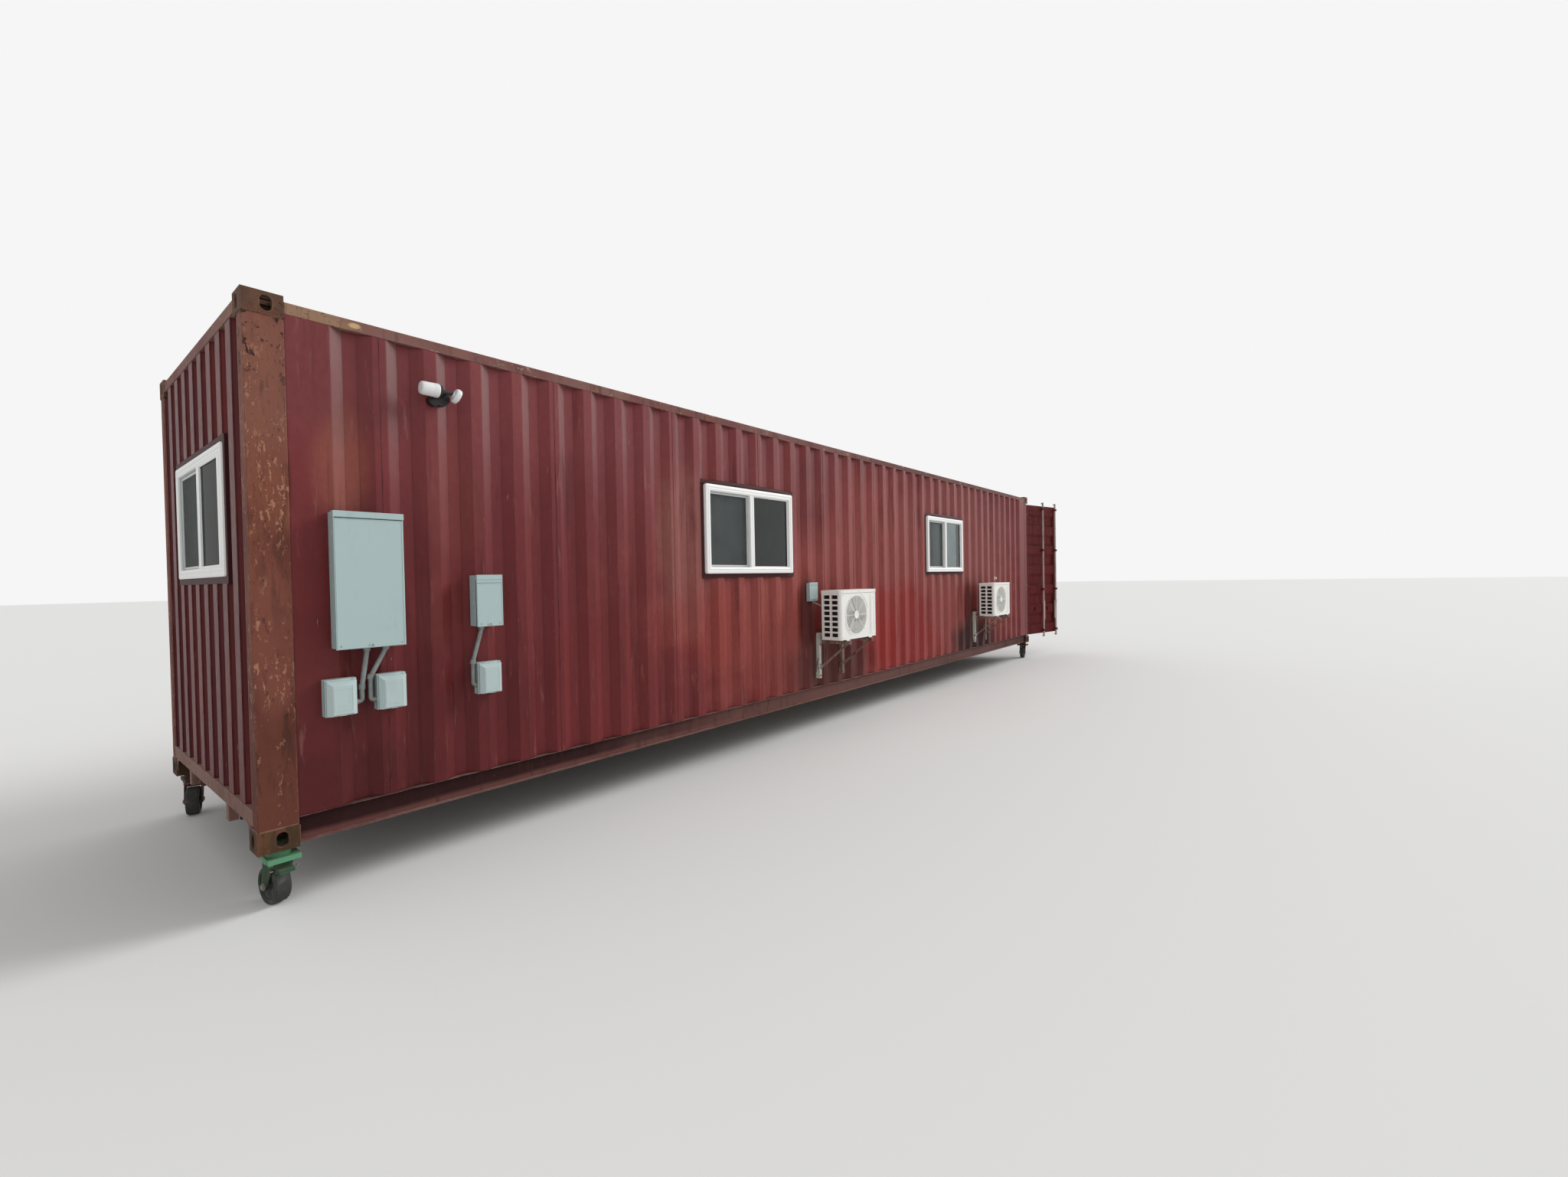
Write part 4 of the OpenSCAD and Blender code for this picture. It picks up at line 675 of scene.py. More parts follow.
def skin(mesh, rings, closed=False):
    """Joins rings of places with faces; an open run gets an end face at both ends."""
    made = [[mesh.verts.new(place) for place in ring] for ring in rings]
    if not closed:
        mesh.faces.new(made[0][::-1])
        mesh.faces.new(made[-1])
    for one, other in zip(made, made[1:] + made[:1] if closed else made[1:]):
        for i in range(len(one)):
            j = (i + 1) % len(one)
            mesh.faces.new((one[i], one[j], other[j], other[i]))


def block(mesh, at, low, high, slope=0.0):
    """A block between two corners, whose outer face is smaller all round by its slope."""
    rings = []
    for out, inset in ((low[2], 0.0), (high[2], slope)):
        rings.append([at @ Vector(place) for place in (
            (low[0] + inset, low[1] + inset, out), (high[0] - inset, low[1] + inset, out),
            (high[0] - inset, high[1] - inset, out), (low[0] + inset, high[1] - inset, out))])
    skin(mesh, rings)


def turned(mesh, at, profile, sides=24, closed=False, centre=(0, 0)):
    """A turned solid on an axis that points out; its profile lists radius and out."""
    turns = [math.tau * (k + 0.5) / sides for k in range(sides)]
    rings = [[at @ Vector((centre[0] + radius * math.cos(turn),
                           centre[1] + radius * math.sin(turn), out)) for turn in turns]
             for radius, out in profile]
    skin(mesh, rings, closed)


def border(mesh, at, centre, size, corner, profile, arc=5):
    """A closed frame swept round a rounded rectangle; its profile lists inset and out."""
    least_radius = 0.0004
    rings = []
    for inset, out in profile:
        radius = max(corner - inset, least_radius)
        reach = (size[0] / 2 - inset - radius, size[1] / 2 - inset - radius)
        ring = []
        for quarter, (way_u, way_v) in enumerate(((1, 1), (-1, 1), (-1, -1), (1, -1))):
            for step in range(arc + 1):
                turn = math.pi / 2 * (quarter + step / arc)
                ring.append(at @ Vector((centre[0] + way_u * reach[0] + radius * math.cos(turn),
                                         centre[1] + way_v * reach[1] + radius * math.sin(turn),
                                         out)))
        rings.append(ring)
    skin(mesh, rings, closed=True)


def arc_ridge(mesh, at, centre, radius, width, rise, start, end, parts=18):
    """A low ridge along part of a circle on a face, from one angle in degrees to another."""
    rings = []
    for k in range(parts + 1):
        turn = math.radians(start + (end - start) * k / parts)
        way = Vector((math.cos(turn), math.sin(turn), 0))
        middle_place = Vector((*centre, 0)) + way * radius
        rings.append([at @ (middle_place + way * across + Vector((0, 0, out))) for across, out in (
            (-width / 2, -0.001), (-width / 4, rise), (width / 4, rise), (width / 2, -0.001))])
    skin(mesh, rings)


def weld_bead(mesh, start, end, radius, out_way):
    """A slightly lumpy bead of weld along an inner corner."""
    count = max(2, round((end - start).length / (radius * 4)))
    way = (end - start).normalized()
    side = way.cross(out_way).normalized()
    rings = []
    for k in range(count + 1):
        swell = radius * (1.0 + 0.22 * math.sin(k * 2.1) * math.cos(k * 0.7))
        place = start.lerp(end, k / count)
        rings.append([place + side * swell * math.cos(turn) + out_way * swell * math.sin(turn)
                      for turn in (0, math.pi / 3, 2 * math.pi / 3, math.pi)])
    skin(mesh, rings)


def bolt(mesh, at, centre, radius, out=0.0, washer=True):
    """A hexagon head, on a washer unless it has none."""
    if washer:
        turned(mesh, at, ((radius * 1.45, out - 0.001), (radius * 1.45, out + radius * 0.2)), 20,
               centre=centre)
        out += radius * 0.18
    turned(mesh, at, ((radius, out), (radius, out + radius * 0.6),
                      (radius * 0.86, out + radius * 0.72)), 6, centre=centre)


def screw(mesh, at, centre, radius, out=0.0):
    """A low round head."""
    turned(mesh, at, ((radius, out - 0.001), (radius, out + radius * 0.25),
                      (radius * 0.75, out + radius * 0.55), (radius * 0.3, out + radius * 0.66)),
           14, centre=centre)


def screws_in_rows(mesh, at, across, up, radius, out=0.0):
    for u in across:
        for v in up:
            screw(mesh, at, (u, v), radius, out)


def piece(name, mesh, finish, body="cabin", rounding=0, replaced=()):
    """Ends a mesh: turns its faces outwards, gives it a finish and puts it on its body."""
    bmesh.ops.recalc_face_normals(mesh, faces=mesh.faces)
    data = bpy.data.meshes.new(name)
    mesh.to_mesh(data)
    mesh.free()
    data.materials.append(finishes[finish])
    data.shade_smooth()
    data.set_sharp_from_angle(angle=SHARP_BEND)
    made = bpy.data.objects.new(name, data)
    bpy.context.collection.objects.link(made)
    if rounding:
        round_edges(made, rounding)
    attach(made, body)
    if replaced:
        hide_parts(*replaced)
    return made


def round_edges(thing, width, segments=2):
    rounding = thing.modifiers.new("rounded edges", "BEVEL")
    rounding.width = width
    rounding.segments = segments
    rounding.limit_method = "ANGLE"
    rounding.angle_limit = ROUNDED_BEND
    rounding.harden_normals = True


def round_node(name, width, segments=2):
    """Rounds the edges of a carried-over solid, whose faces come with split corners."""
    joined = nodes[name].modifiers.new("joined corners", "WELD")
    joined.merge_threshold = 0.00005
    round_edges(nodes[name], width, segments)


# Windows

def window_parts():
    """White frames swept from one section, with beads, rubber, sash tracks, screens and latches."""
    frames, rubbers, tracks, screens, latches = (bmesh.new() for _ in range(5))
    side_panes, end_panes, crowns = bmesh.new(), bmesh.new(), bmesh.new()
    sashes = solids("window_sashes")
    panes = solids("window_glass")
    edge_w, mullion = 0.058, 0.031
    for number, box in enumerate(solids("window_frames")):
        at = placing(middle(box), BLIND_END if number == 0 else NEAR_SIDE)
        low, high = seen_from(at, box)
        front, deep = high[2], high[2] - low[2]
        at = at @ Matrix.Translation((0, 0, front))
        width, height = high[0] - low[0], high[1] - low[1]
        section = ((0, -deep), (0, -0.0035), (0.0012, -0.0012), (0.0035, 0), (0.025, 0),
                   (0.0268, -0.0016), (0.029, -0.0048), (0.033, -0.0048), (0.0352, -0.0016),
                   (0.037, -0.001), (0.0465, -0.001), (0.0488, -0.003), (edge_w, -0.0045),
                   (edge_w, -deep))
        border(frames, at, (0, 0), (width, height), 0.018, section)
        inner = height / 2 - edge_w + 0.002
        block(frames, at, (-mullion, -inner, -deep), (mullion, inner, -0.0095))
        block(frames, at, (-mullion + 0.005, -inner, -0.010), (-0.003, inner, -0.005), 0.0015)
        block(frames, at, (0.003, -inner, -0.010), (mullion - 0.005, inner, -0.005), 0.0015)
        # Bead and rubber round the fixed light
        light = (width / 2 - mullion - edge_w, height - 2 * edge_w)
        fixed = (mullion + light[0] / 2, 0)
        fixed_pane = 0 if number == 0 else 2 * number + 1
        face = seen_from(at, panes[fixed_pane])[1][2]
        for pane_box in panes[2 * number:2 * number + 2]:
            block(end_panes if number == 0 else side_panes, at, *seen_from(at, pane_box))
        proud = min(0.013, -face - 0.001)
        bead = 0.013 if number == 0 else 0.010
        border(frames, at, fixed, light, 0.004,
               ((0, face), (0, face + proud), (bead - 0.006, face + proud), (bead, face + 0.004),
                (bead + 0.001, face)), 2)
        border(rubbers, at, fixed, (light[0] - 2 * bead, light[1] - 2 * bead), 0.003,
               ((0, face), (0, face + 0.003), (0.0035, face + 0.003), (0.0045, face)), 2)
        if number == 0:
            for edge, way in ((fixed[0] - light[0] / 2, 1), (fixed[0] + light[0] / 2, -1)):
                block(frames, at, (min(edge, edge + way * 0.055), -light[1] / 2, face),
                      (max(edge, edge + way * 0.055), light[1] / 2, face + proud + 0.0008), 0.002)
        # Sealed flashing along the head, thinner at its ends, in the surround finish whose dark
        # tone is painted shade
        crown = []
        for step in range(17):
            along = -1 + step / 8
            swell = 1 - 0.75 * along ** 6
            crown.append([at @ Vector((along * (width / 2 + 0.034), height / 2 - 0.004 + swell * up,
                                       -0.029 + swell * out)) for up, out in (
                (0, 0), (0, 0.014), (0.006, 0.021), (0.020, 0.024), (0.038, 0.020), (0.048, 0.008),
                (0.050, 0))])
        skin(crowns, crown)
        # Tracks, rubber, screen and latch of the sliding light
        sash = seen_from(at, sashes[number])
        out = sash[1][2]
        centre = ((sash[0][0] + sash[1][0]) / 2, (sash[0][1] + sash[1][1]) / 2)
        pane = (sash[1][0] - sash[0][0] - 0.052, sash[1][1] - sash[0][1] - 0.052)
        border(tracks, at, (-fixed[0], 0), light, 0.003,
               ((0, out + 0.001), (0, out + 0.018), (0.003, out + 0.018), (0.003, out + 0.005),
                (0.008, out + 0.005), (0.008, out + 0.001)), 2)
        border(rubbers, at, centre, (pane[0] + 0.006, pane[1] + 0.006), 0.003,
               ((0, out - 0.001), (0, out + 0.0015), (0.005, out + 0.0015),
                (0.008, out - 0.004)), 2)
        border(tracks, at, centre, (pane[0] + 0.036, pane[1] + 0.036), 0.006,
               ((0, out + 0.001), (0, out + 0.008), (0.0015, out + 0.0095), (0.0125, out + 0.0095),
                (0.014, out + 0.008), (0.014, out + 0.001)), 2)
        half = (pane[0] / 2 + 0.008, pane[1] / 2 + 0.008)
        block(screens, at, (centre[0] - half[0], centre[1] - half[1], out + 0.0045),
              (centre[0] + half[0], centre[1] + half[1], out + 0.0055))
        block(latches, at, (-mullion - 0.018, -0.05, out + 0.001),
              (-mullion - 0.004, 0.05, out + 0.013), 0.002)
        turned(latches, at, ((0.006, out + 0.012), (0.006, out + 0.018), (0.0045, out + 0.0195)),
               16, centre=(-mullion - 0.011, 0))
        # Covers of the drain slots at the foot
        for way in (-1, 1):
            u = way * width * 0.3
            block(frames, at, (u - 0.018, -height / 2 + 0.038, -0.002),
                  (u + 0.018, -height / 2 + 0.045, 0.0), 0.0012)
    piece("window_frames_white", frames, "white_frame",
          replaced=["window_frames"])
    piece("side_window_panes", side_panes, "glass", replaced=["window_glass"])
    piece("end_window_panes", end_panes, "end_glass")
    piece("window_flashings", crowns, "surround")
    piece("window_rubbers", rubbers, "seal")
    piece("window_tracks", tracks, "sash")
    piece("window_screens", screens, "screen")
    piece("window_latches", latches, "sash", rounding=0.0008)


# Cooling units

def unit_parts():
    """Pressed arcs and strips, lid seam, a black strip of painted shade in the upright groove, coil
    fins behind the vents, screws and pads.
    """
    pressings, fins, seams, screws, pads = (bmesh.new() for _ in range(5))
    lid, proud, foot = 0.034, 0.003, 0.012
    screw_r, guard_r = 0.0045, 0.2185
    for box, guard in zip(solids("unit_casings"), solids("fan_guards")):
        front = guard[1].y
        at = placing(Vector((box[0].x + proud, front, box[0].z)), NEAR_SIDE)
        width, top = box[1].x - box[0].x - 2 * proud, box[1].z - box[0].z
        fan = middle(seen_from(at, guard))
        # Arcs pressed into the front beside the fan, and the lip of its opening
        for radius in (0.234, 0.247):
            arc_ridge(pressings, at, fan[:2], radius, 0.0055, 0.0025, 16, 70)
            arc_ridge(pressings, at, fan[:2], radius, 0.0055, 0.0025, 200, 246)
        # Upright groove, drawn as a black strip of painted shade, and long strip with round ends to
        # the right of the fan
        block(seams, at, (0.5955, 0.030, -0.001), (0.598, top - lid - 0.014, 0.0005))
        border(pressings, at, (0.655, top / 2 - 0.012), (0.078, top - 0.118), 0.039,
               ((0, -0.001), (0.003, 0.0028), (0.009, 0.0028), (0.013, -0.001)), 10)
        block(seams, at, (0.030, top - lid - 0.0030, -0.003),
              (width - 0.030, top - lid - 0.0002, 0.0006))
        screws_in_rows(screws, at, (0.05, width / 2, width - 0.05), (top - lid / 2,), screw_r,
                       proud)
        screws_in_rows(screws, at, (0.040, width - 0.036), (foot + 0.022, top - lid - 0.022),
                       screw_r)
        for degrees in (45, 135, 225, 315):
            way = math.radians(degrees)
            screw(screws, at, (fan[0] + guard_r * math.cos(way), fan[1] + guard_r * math.sin(way)),
                  0.004, proud)
        turned(pressings, at, ((0.046, 0.002), (0.045, 0.0045), (0.038, 0.0055), (0.036, 0.0045),
                               (0.010, 0.0048)), 40, centre=fan[:2])
        # Coil fins in the pockets of the left side
        side = placing(Vector((box[0].x + proud, front, box[0].z)), BLIND_END)
        for column in (0.038, 0.140):
            for row in range(8):
                v = foot + 0.034 + row * 0.058
                for k in range(20):
                    u = -column - 0.080 * (k + 0.5) / 20
                    block(fins, side, (u - 0.0006, v - 0.001, -0.0285),
                          (u + 0.0006, v + 0.041, -0.018))
                for pipe in (v + 0.012, v + 0.027):
                    block(fins, side, (-column - 0.081, pipe, -0.0285),
                          (-column + 0.001, pipe + 0.003, -0.0165))
        # Valve cover with its grip on the right side
        right = placing(Vector((box[1].x - proud, front, box[0].z)), DOOR_END)
        block(pressings, right, (0.060, 0.040, -0.001), (0.200, 0.230, 0.010), 0.003)
        block(seams, right, (0.075, 0.245, -0.002), (0.185, 0.257, 0.0008))
        screws_in_rows(screws, right, (0.068, 0.192), (0.052, 0.218), 0.004, 0.010)
        for u in (0.137, 0.595):
            for w in (-0.020, -0.224):
                block(pads, at, (u - 0.034, -0.0005, w - 0.026), (u + 0.034, 0.010, w + 0.020))
    piece("unit_pressings", pressings, "unit")
    piece("unit_seams_and_painted_shade", seams, "lamp_black")
    piece("unit_coil_fins", fins, "fins")
    piece("unit_screws", screws, "bolts")
    piece("unit_pads", pads, "seal", rounding=0.001)


def bracket_parts():
    """Bolts and foot plates of the two pairs of brackets."""
    bolts, plates = bmesh.new(), bmesh.new()
    bar = bracket_bar
    for box in solids("unit_brackets"):
        size = box[1] - box[0]
        at = placing(box[0], NEAR_SIDE)
        wall = -size.y + bar
        arm = size.z - 0.110
        for u in (bar / 2, size.x - bar / 2):
            for v in (0.030, 0.150, size.z - 0.130):
                bolt(bolts, at, (u, v), 0.009, wall)
            sheet = wall - bar
            block(plates, at, (u - 0.034, 0.004, sheet), (u + 0.034, 0.064, sheet + 0.005))
            for du in (-0.027, 0.027):
                bolt(bolts, at, (u + du, 0.034), 0.006, sheet + 0.005)
            # Ends of the diagonal, bolted through the upright and the arm
            side = placing(Vector((box[0].x + u - bar / 2, box[0].y, box[0].z)), BLIND_END)
            for out, v in ((-size.y + 0.020, 0.112), (-0.062, arm - 0.012 + 0.032)):
                bolt(bolts, side, (out, v), 0.008)
            # Cap in the open end of the arm
            block(plates, at, (u - 0.018, size.z - 0.108, -0.002),
                  (u + 0.018, size.z - 0.072, 0.0), 0.002)
    piece("bracket_bolts", bolts, "bolts")
    piece("bracket_plates", plates, "bracket", rounding=0.001)


# Electrical boxes

def box_parts():
    """Folded edges, hoods, seams, painted shadow lines under the hoods, latches, knockouts and
    screws of the electrical boxes.
    """
    sheets, covers, seams, screws = (bmesh.new() for _ in range(4))
    screw_r = 0.0035
    for node, hood, edge, face in (("main_panel", 0.036, 0.007, -0.006),
                                   ("sub_panel", 0.052, 0.002, 0.0)):
        box = solids(node)[0]
        at, width, top = near_face(box)
        shut = top - hood
        border(sheets, at, (width / 2, shut / 2), (width - 2 * edge, shut - edge), 0.003,
               ((0, face - 0.004), (0, face + 0.001), (0.001, face + 0.002), (0.0035, face + 0.002),
                (0.005, face - 0.001), (0.005, face - 0.004)), 3)
        # A black strip under the hood: painted shadow of the hood
        block(seams, at, (edge, shut - 0.004, face - 0.002),
              (width - edge, shut + 0.001, face + 0.0008))
        if node == "sub_panel":
            block(sheets, at, (0.0005, top - 0.032, -0.002),
                  (width - 0.0005, top - 0.0005, 0.003), 0.0015)
        # Latch at the foot, screws in the corners
        block(sheets, at, (width / 2 - 0.016, 0.006, face - 0.001),
              (width / 2 + 0.016, 0.024, face + 0.004), 0.0015)
        turned(screws, at, ((0.005, face + 0.003), (0.005, face + 0.006), (0.003, face + 0.007)),
               20, centre=(width / 2, 0.015))
        screws_in_rows(screws, at, (0.024, width - 0.024), (0.018,), screw_r, face)
        # Seam of the cover's fold and blanked holes in the left side
        side = placing(box[0] + Vector((edge, 0, 0)), BLIND_END)
        block(seams, side, (-0.0185, 0.003, -0.002), (-0.0165, top - 0.034, 0.0006))
        for v in (0.10, top * 0.46, top - 0.12):
            turned(sheets, side, ((0.016, -0.001), (0.016, 0.0010), (0.014, 0.0014)), 28,
                   centre=(-0.062, v))
    for box in solids("outlet_boxes"):
        at, width, top = near_face(box)
        deep = 0.042
        border(covers, at, (width / 2 + 0.001, top / 2 - 0.010), (width - 0.060, top - 0.080),
               0.005, ((0, -0.001), (0.0006, 0.001), (0.0025, 0.001), (0.0035, -0.001)), 3)
        # Rim behind the cover, ears and clips of its hinge, and the pull at its foot
        border(covers, at, (width / 2, top / 2 - 0.002), (width - 0.001, top - 0.005), 0.004,
               ((0, -deep - 0.009), (0, -deep - 0.001), (0.002, -deep + 0.001),
                (0.005, -deep + 0.001), (0.005, -deep - 0.009)), 3)
        for u in (0.004, width - 0.022):
            block(covers, at, (u, top - 0.020, -deep - 0.008), (u + 0.018, top, -deep + 0.010),
                  0.002)
        block(covers, at, (width / 2 - 0.018, 0.001, -0.020), (width / 2 + 0.018, 0.008, -0.002),
              0.002)
        side = placing(box[0], BLIND_END)
        block(seams, side, (-deep - 0.013, 0.004, -0.001), (-deep - 0.0105, top - 0.006, 0.0005))
        screws_in_rows(screws, at, (0.010, width - 0.010), (0.010,), screw_r, -deep + 0.001)
    at, width, top = near_face(solids("disconnect_box")[0])
    block(sheets, at, (0.006, 0.016, -0.001), (width - 0.006, 0.044, 0.003), 0.0012)
    block(sheets, at, (width / 2 - 0.015, 0.022, 0.002), (width / 2 + 0.015, 0.034, 0.010), 0.002)
    block(seams, at, (0.004, top - 0.030, -0.0015), (width - 0.004, top - 0.0275, 0.0006))
    screws_in_rows(screws, at, (0.016, width - 0.016), (0.030,), screw_r, 0.003)
    piece("box_folds", sheets, "box", rounding=0.0004)
    piece("outlet_cover_rims", covers, "box_plastic", rounding=0.0004)
    piece("box_seams_and_painted_shadow", seams, "lamp_black")
    piece("box_screws", screws, "bolts")


def conduit_parts():
    """Lock nuts where the conduits meet the boxes, and the drain stub beside the right unit."""
    nuts, stub = bmesh.new(), bmesh.new()
    main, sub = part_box("main_panel"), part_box("sub_panel")
    outlets = solids("outlet_boxes")
    centre_y = middle(solids("conduits")[0]).y
    for box, share in ((main, 0.48), (main, 0.76), (sub, 1 / 3)):
        x = box[0].x + share * (box[1].x - box[0].x)
        at = placing(Vector((x, centre_y, box[0].z)), DOWNWARDS)
        turned(nuts, at, ((0.021, -0.001), (0.021, 0.006)), 6)
        turned(nuts, at, ((0.0185, 0.005), (0.0185, 0.018), (0.0172, 0.020)), 20)
    for box, axes, end in zip(outlets, (DOOR_END, BLIND_END, BLIND_END), (1, 0, 0)):
        at = placing(Vector((box[end].x, centre_y, box[0].z + 0.060)), axes)
        turned(nuts, at, ((0.019, -0.001), (0.019, 0.006)), 6)
        turned(nuts, at, ((0.0165, 0.005), (0.0165, 0.014), (0.015, 0.016)), 20)
    piece("conduit_nuts", nuts, "bolts", rounding=0.0005)
    at = placing(on_shell(10.35, 0.006, 1.302), NEAR_SIDE)
    turned(stub, at, ((0.028, -0.001), (0.028, 0.004), (0.017, 0.005), (0.017, 0.034),
                              (0.014, 0.035)), 28)
    piece("drain_stub", stub, "lamp_white")


# Lamp

def lamp_parts():
    """The two heads with their ribs and lens, and the rims of sensor and base."""
    heads, rims, lenses, rubbers = (bmesh.new() for _ in range(4))
    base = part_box("lamp_base")
    sensor, plate, arm = 0.032, (0.078, 0.054), 0.113
    left = solids("lamp_heads")[0]
    end = Vector((left[1].x, middle(left).y, middle(left).z))
    at = placing(end, BLIND_END)
    turned(heads, at, ((0.0355, 0.004), (0.0400, 0.0055), (0.0415, 0.009), (0.0395, 0.091),
                               (0.0385, 0.0985), (0.0350, 0.1045), (0.0290, 0.107)), 64)
    for k in range(4):
        out, rib = 0.014 + 0.008 * k, 0.0413 - 0.0002 * k
        turned(rims, at, ((rib - 0.002, out - 0.0022), (rib + 0.0008, out - 0.0012),
                          (rib + 0.0008, out + 0.0012), (rib - 0.002, out + 0.0022)), 64)
    turned(rubbers, at, ((0.0325, -0.004), (0.0335, 0.005)), 48)
    # The right head looks out and down from the end of the arm
    dip, reach = math.radians(22), 0.046
    start = Vector((base[0].x + arm, end.y, end.z))
    ahead, across = Vector((math.cos(dip), 0, -math.sin(dip))), Vector((0, 1, 0))
    at = placing(start, (across, ahead.cross(across), ahead))
    turned(heads, at, ((0.0120, 0.001), (0.0135, 0.009), (0.0390, 0.0125), (0.0440, 0.017),
                               (0.0455, 0.023), (0.0455, reach - 0.010), (0.0445, reach - 0.006),
                               (0.0415, reach - 0.0045)), 64)
    turned(lenses, at, ((0.0420, reach - 0.006), (0.0405, reach - 0.0025), (0.0310, reach),
                                (0.0160, reach + 0.0015)), 48)
    turned(rims, at, ((0.0450, 0.0265), (0.0464, 0.0275), (0.0464, 0.0295), (0.0450, 0.0305)), 64)
    wall = base[1].y
    at = placing(Vector((base[0].x + sensor, wall, base[0].z + sensor)), NEAR_SIDE)
    turned(rubbers, at, ((0.024, 0.044), (0.023, 0.0465), (0.018, 0.0480), (0.010, 0.0485)), 40)
    turned(rubbers, at, ((0.0325, 0.034), (0.0325, 0.041), (0.031, 0.043)), 40)
    at = placing(Vector((base[0].x + plate[0], wall, base[0].z + plate[1])), NEAR_SIDE)
    turned(rubbers, at, ((0.0472, 0.004), (0.0472, 0.010), (0.046, 0.012)), 64)
    for u, v in ((0.030, 0.0), (-0.010, 0.030), (0.012, -0.030)):
        screw(rubbers, at, (u, v), 0.004, 0.036)
    piece("lamp_heads_white", heads, "lamp_white", replaced=["lamp_heads"])
    piece("lamp_rims", rims, "lamp_white")
    piece("lamp_lenses", lenses, "lens")
    piece("lamp_gaskets", rubbers, "lamp_black")


# Shell

def casting_parts():
    """Weld beads where posts and rails meet the corner castings."""
    beads = bmesh.new()
    inset, radius = 0.0045, 0.0040
    for node, rail in (("under_corner_castings", "bottom_side_rails"),
                       ("top_corner_castings", "top_side_rails")):
        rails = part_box(rail)
        for low, high in solids(node):
            x_way, y_way = (-1 if low.x < 0 else 1), (-1 if low.y < 0 else 1)
            x, inner_x = (low.x, high.x) if x_way < 0 else (high.x, low.x)
            y = low.y if y_way < 0 else high.y
            seam = low.z if node.startswith("top") else high.z
            out_x, out_y = Vector((x_way, 0, 0)), Vector((0, y_way, 0))
            for start, end, out in (
                    (Vector((low.x + 0.007, y, seam)), Vector((high.x - 0.007, y, seam)), out_y),
                    (Vector((x, low.y + 0.007, seam)), Vector((x, high.y - 0.007, seam)), out_x),
                    (Vector((inner_x, y, max(low.z, rails[0].z) + 0.004)),
                     Vector((inner_x, y, min(high.z, rails[1].z) - 0.004)), out_y)):
                weld_bead(beads, start - out * inset, end - out * inset, radius, out)
    piece("casting_welds", beads, "casting")


def wall_parts():
    """Welded seams between the sheets of both side walls, clear of the windows."""
    beads = bmesh.new()
    low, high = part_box("near_side_wall")
    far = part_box("far_side_wall")[1].y
    openings = solids("window_surrounds")[1:]
    first_crest, casting_length, pitch, flat_middle = 0.584, 0.178, 0.278, 0.036
    first_flat = first_crest - casting_length
    crests, crests_on_a_sheet, end_margin = 44, 4, 0.2
    radius, sunk, clear = 0.0026, 0.0005, 0.004
    for k in range(0, crests, crests_on_a_sheet):
        x = low.x + first_flat + pitch * k + flat_middle
        if x > high.x - end_margin:
            continue
        runs = [(low.z + clear, high.z - clear)]
        for box in openings:
            if box[0].x - 0.01 < x < box[1].x + 0.01:
                runs = [(low.z + clear, box[0].z), (box[1].z, high.z - clear)]
        for start, end in runs:
            weld_bead(beads, Vector((x, low.y + sunk, start)), Vector((x, low.y + sunk, end)),
                      radius, Vector((0, -1, 0)))
        weld_bead(beads, Vector((x, far - sunk, low.z + clear)),
                  Vector((x, far - sunk, high.z - clear)), radius, Vector((0, 1, 0)))
    piece("wall_seams", beads, "near_side")


# Doors

def door_parts():
    """Gasket lips, bolts of the rod guides and caps of the hinge pins, on both open doors."""
    open_degrees, back = 103, -0.087
    turn = math.radians(open_degrees)
    low, high = (corner.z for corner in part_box("near_door_leaf"))
    tall = high - low
    first, last, panel_margin, hinge_margin = 0.070, 1.193, 0.100, 0.250
    for side, way in (("near", 1), ("far", -1)):
        pin = Vector(joints[f"{side}_door"]["pos_m"])
        out = Vector((math.cos(turn), -way * math.sin(turn), 0))
        along = Vector((math.sin(turn), way * math.cos(turn), 0))
        at = placing(Vector((pin.x, pin.y, low)), (along, (0, 0, 1), out))
        bolts, rubbers, pins = bmesh.new(), bmesh.new(), bmesh.new()
        step = (tall - 2 * panel_margin) / 6
        for u in (0.620, 1.100):
            for v in (0.060, panel_margin + 2 * step, panel_margin + 4 * step, tall - 0.060):
                for du in (-0.024, 0.024):
                    bolt(bolts, at, (u + du, v + 0.008), 0.0045, 0.031, washer=False)
        for k in range(4):
            v = hinge_margin + k * (tall - 2 * hinge_margin) / 3
            for end in (-0.034, 0.030):
                cap = placing(Vector((pin.x, pin.y, low + v + end)), UPWARDS)
                turned(pins, cap, ((0.0165, 0.0), (0.0165, 0.003), (0.014, 0.004)), 28)
        # Lips of the rubber, on its inner face and round its edge
        size = (last - first, tall)
        centre = ((first + last) / 2, tall / 2)
        for inset in (0.006, 0.018):
            border(rubbers, at, centre, (size[0] - 2 * inset, size[1] - 2 * inset), 0.004,
                   ((0, back + 0.002), (0.0015, back - 0.003), (0.0035, back - 0.003),
                    (0.007, back + 0.002)), 3)
        piece(f"{side}_door_guide_bolts", bolts, "bolts", f"{side}_door")
        piece(f"{side}_door_gasket_lips", rubbers, "seal", f"{side}_door")
        piece(f"{side}_door_pin_caps", pins, "rods", f"{side}_door")


# Casters

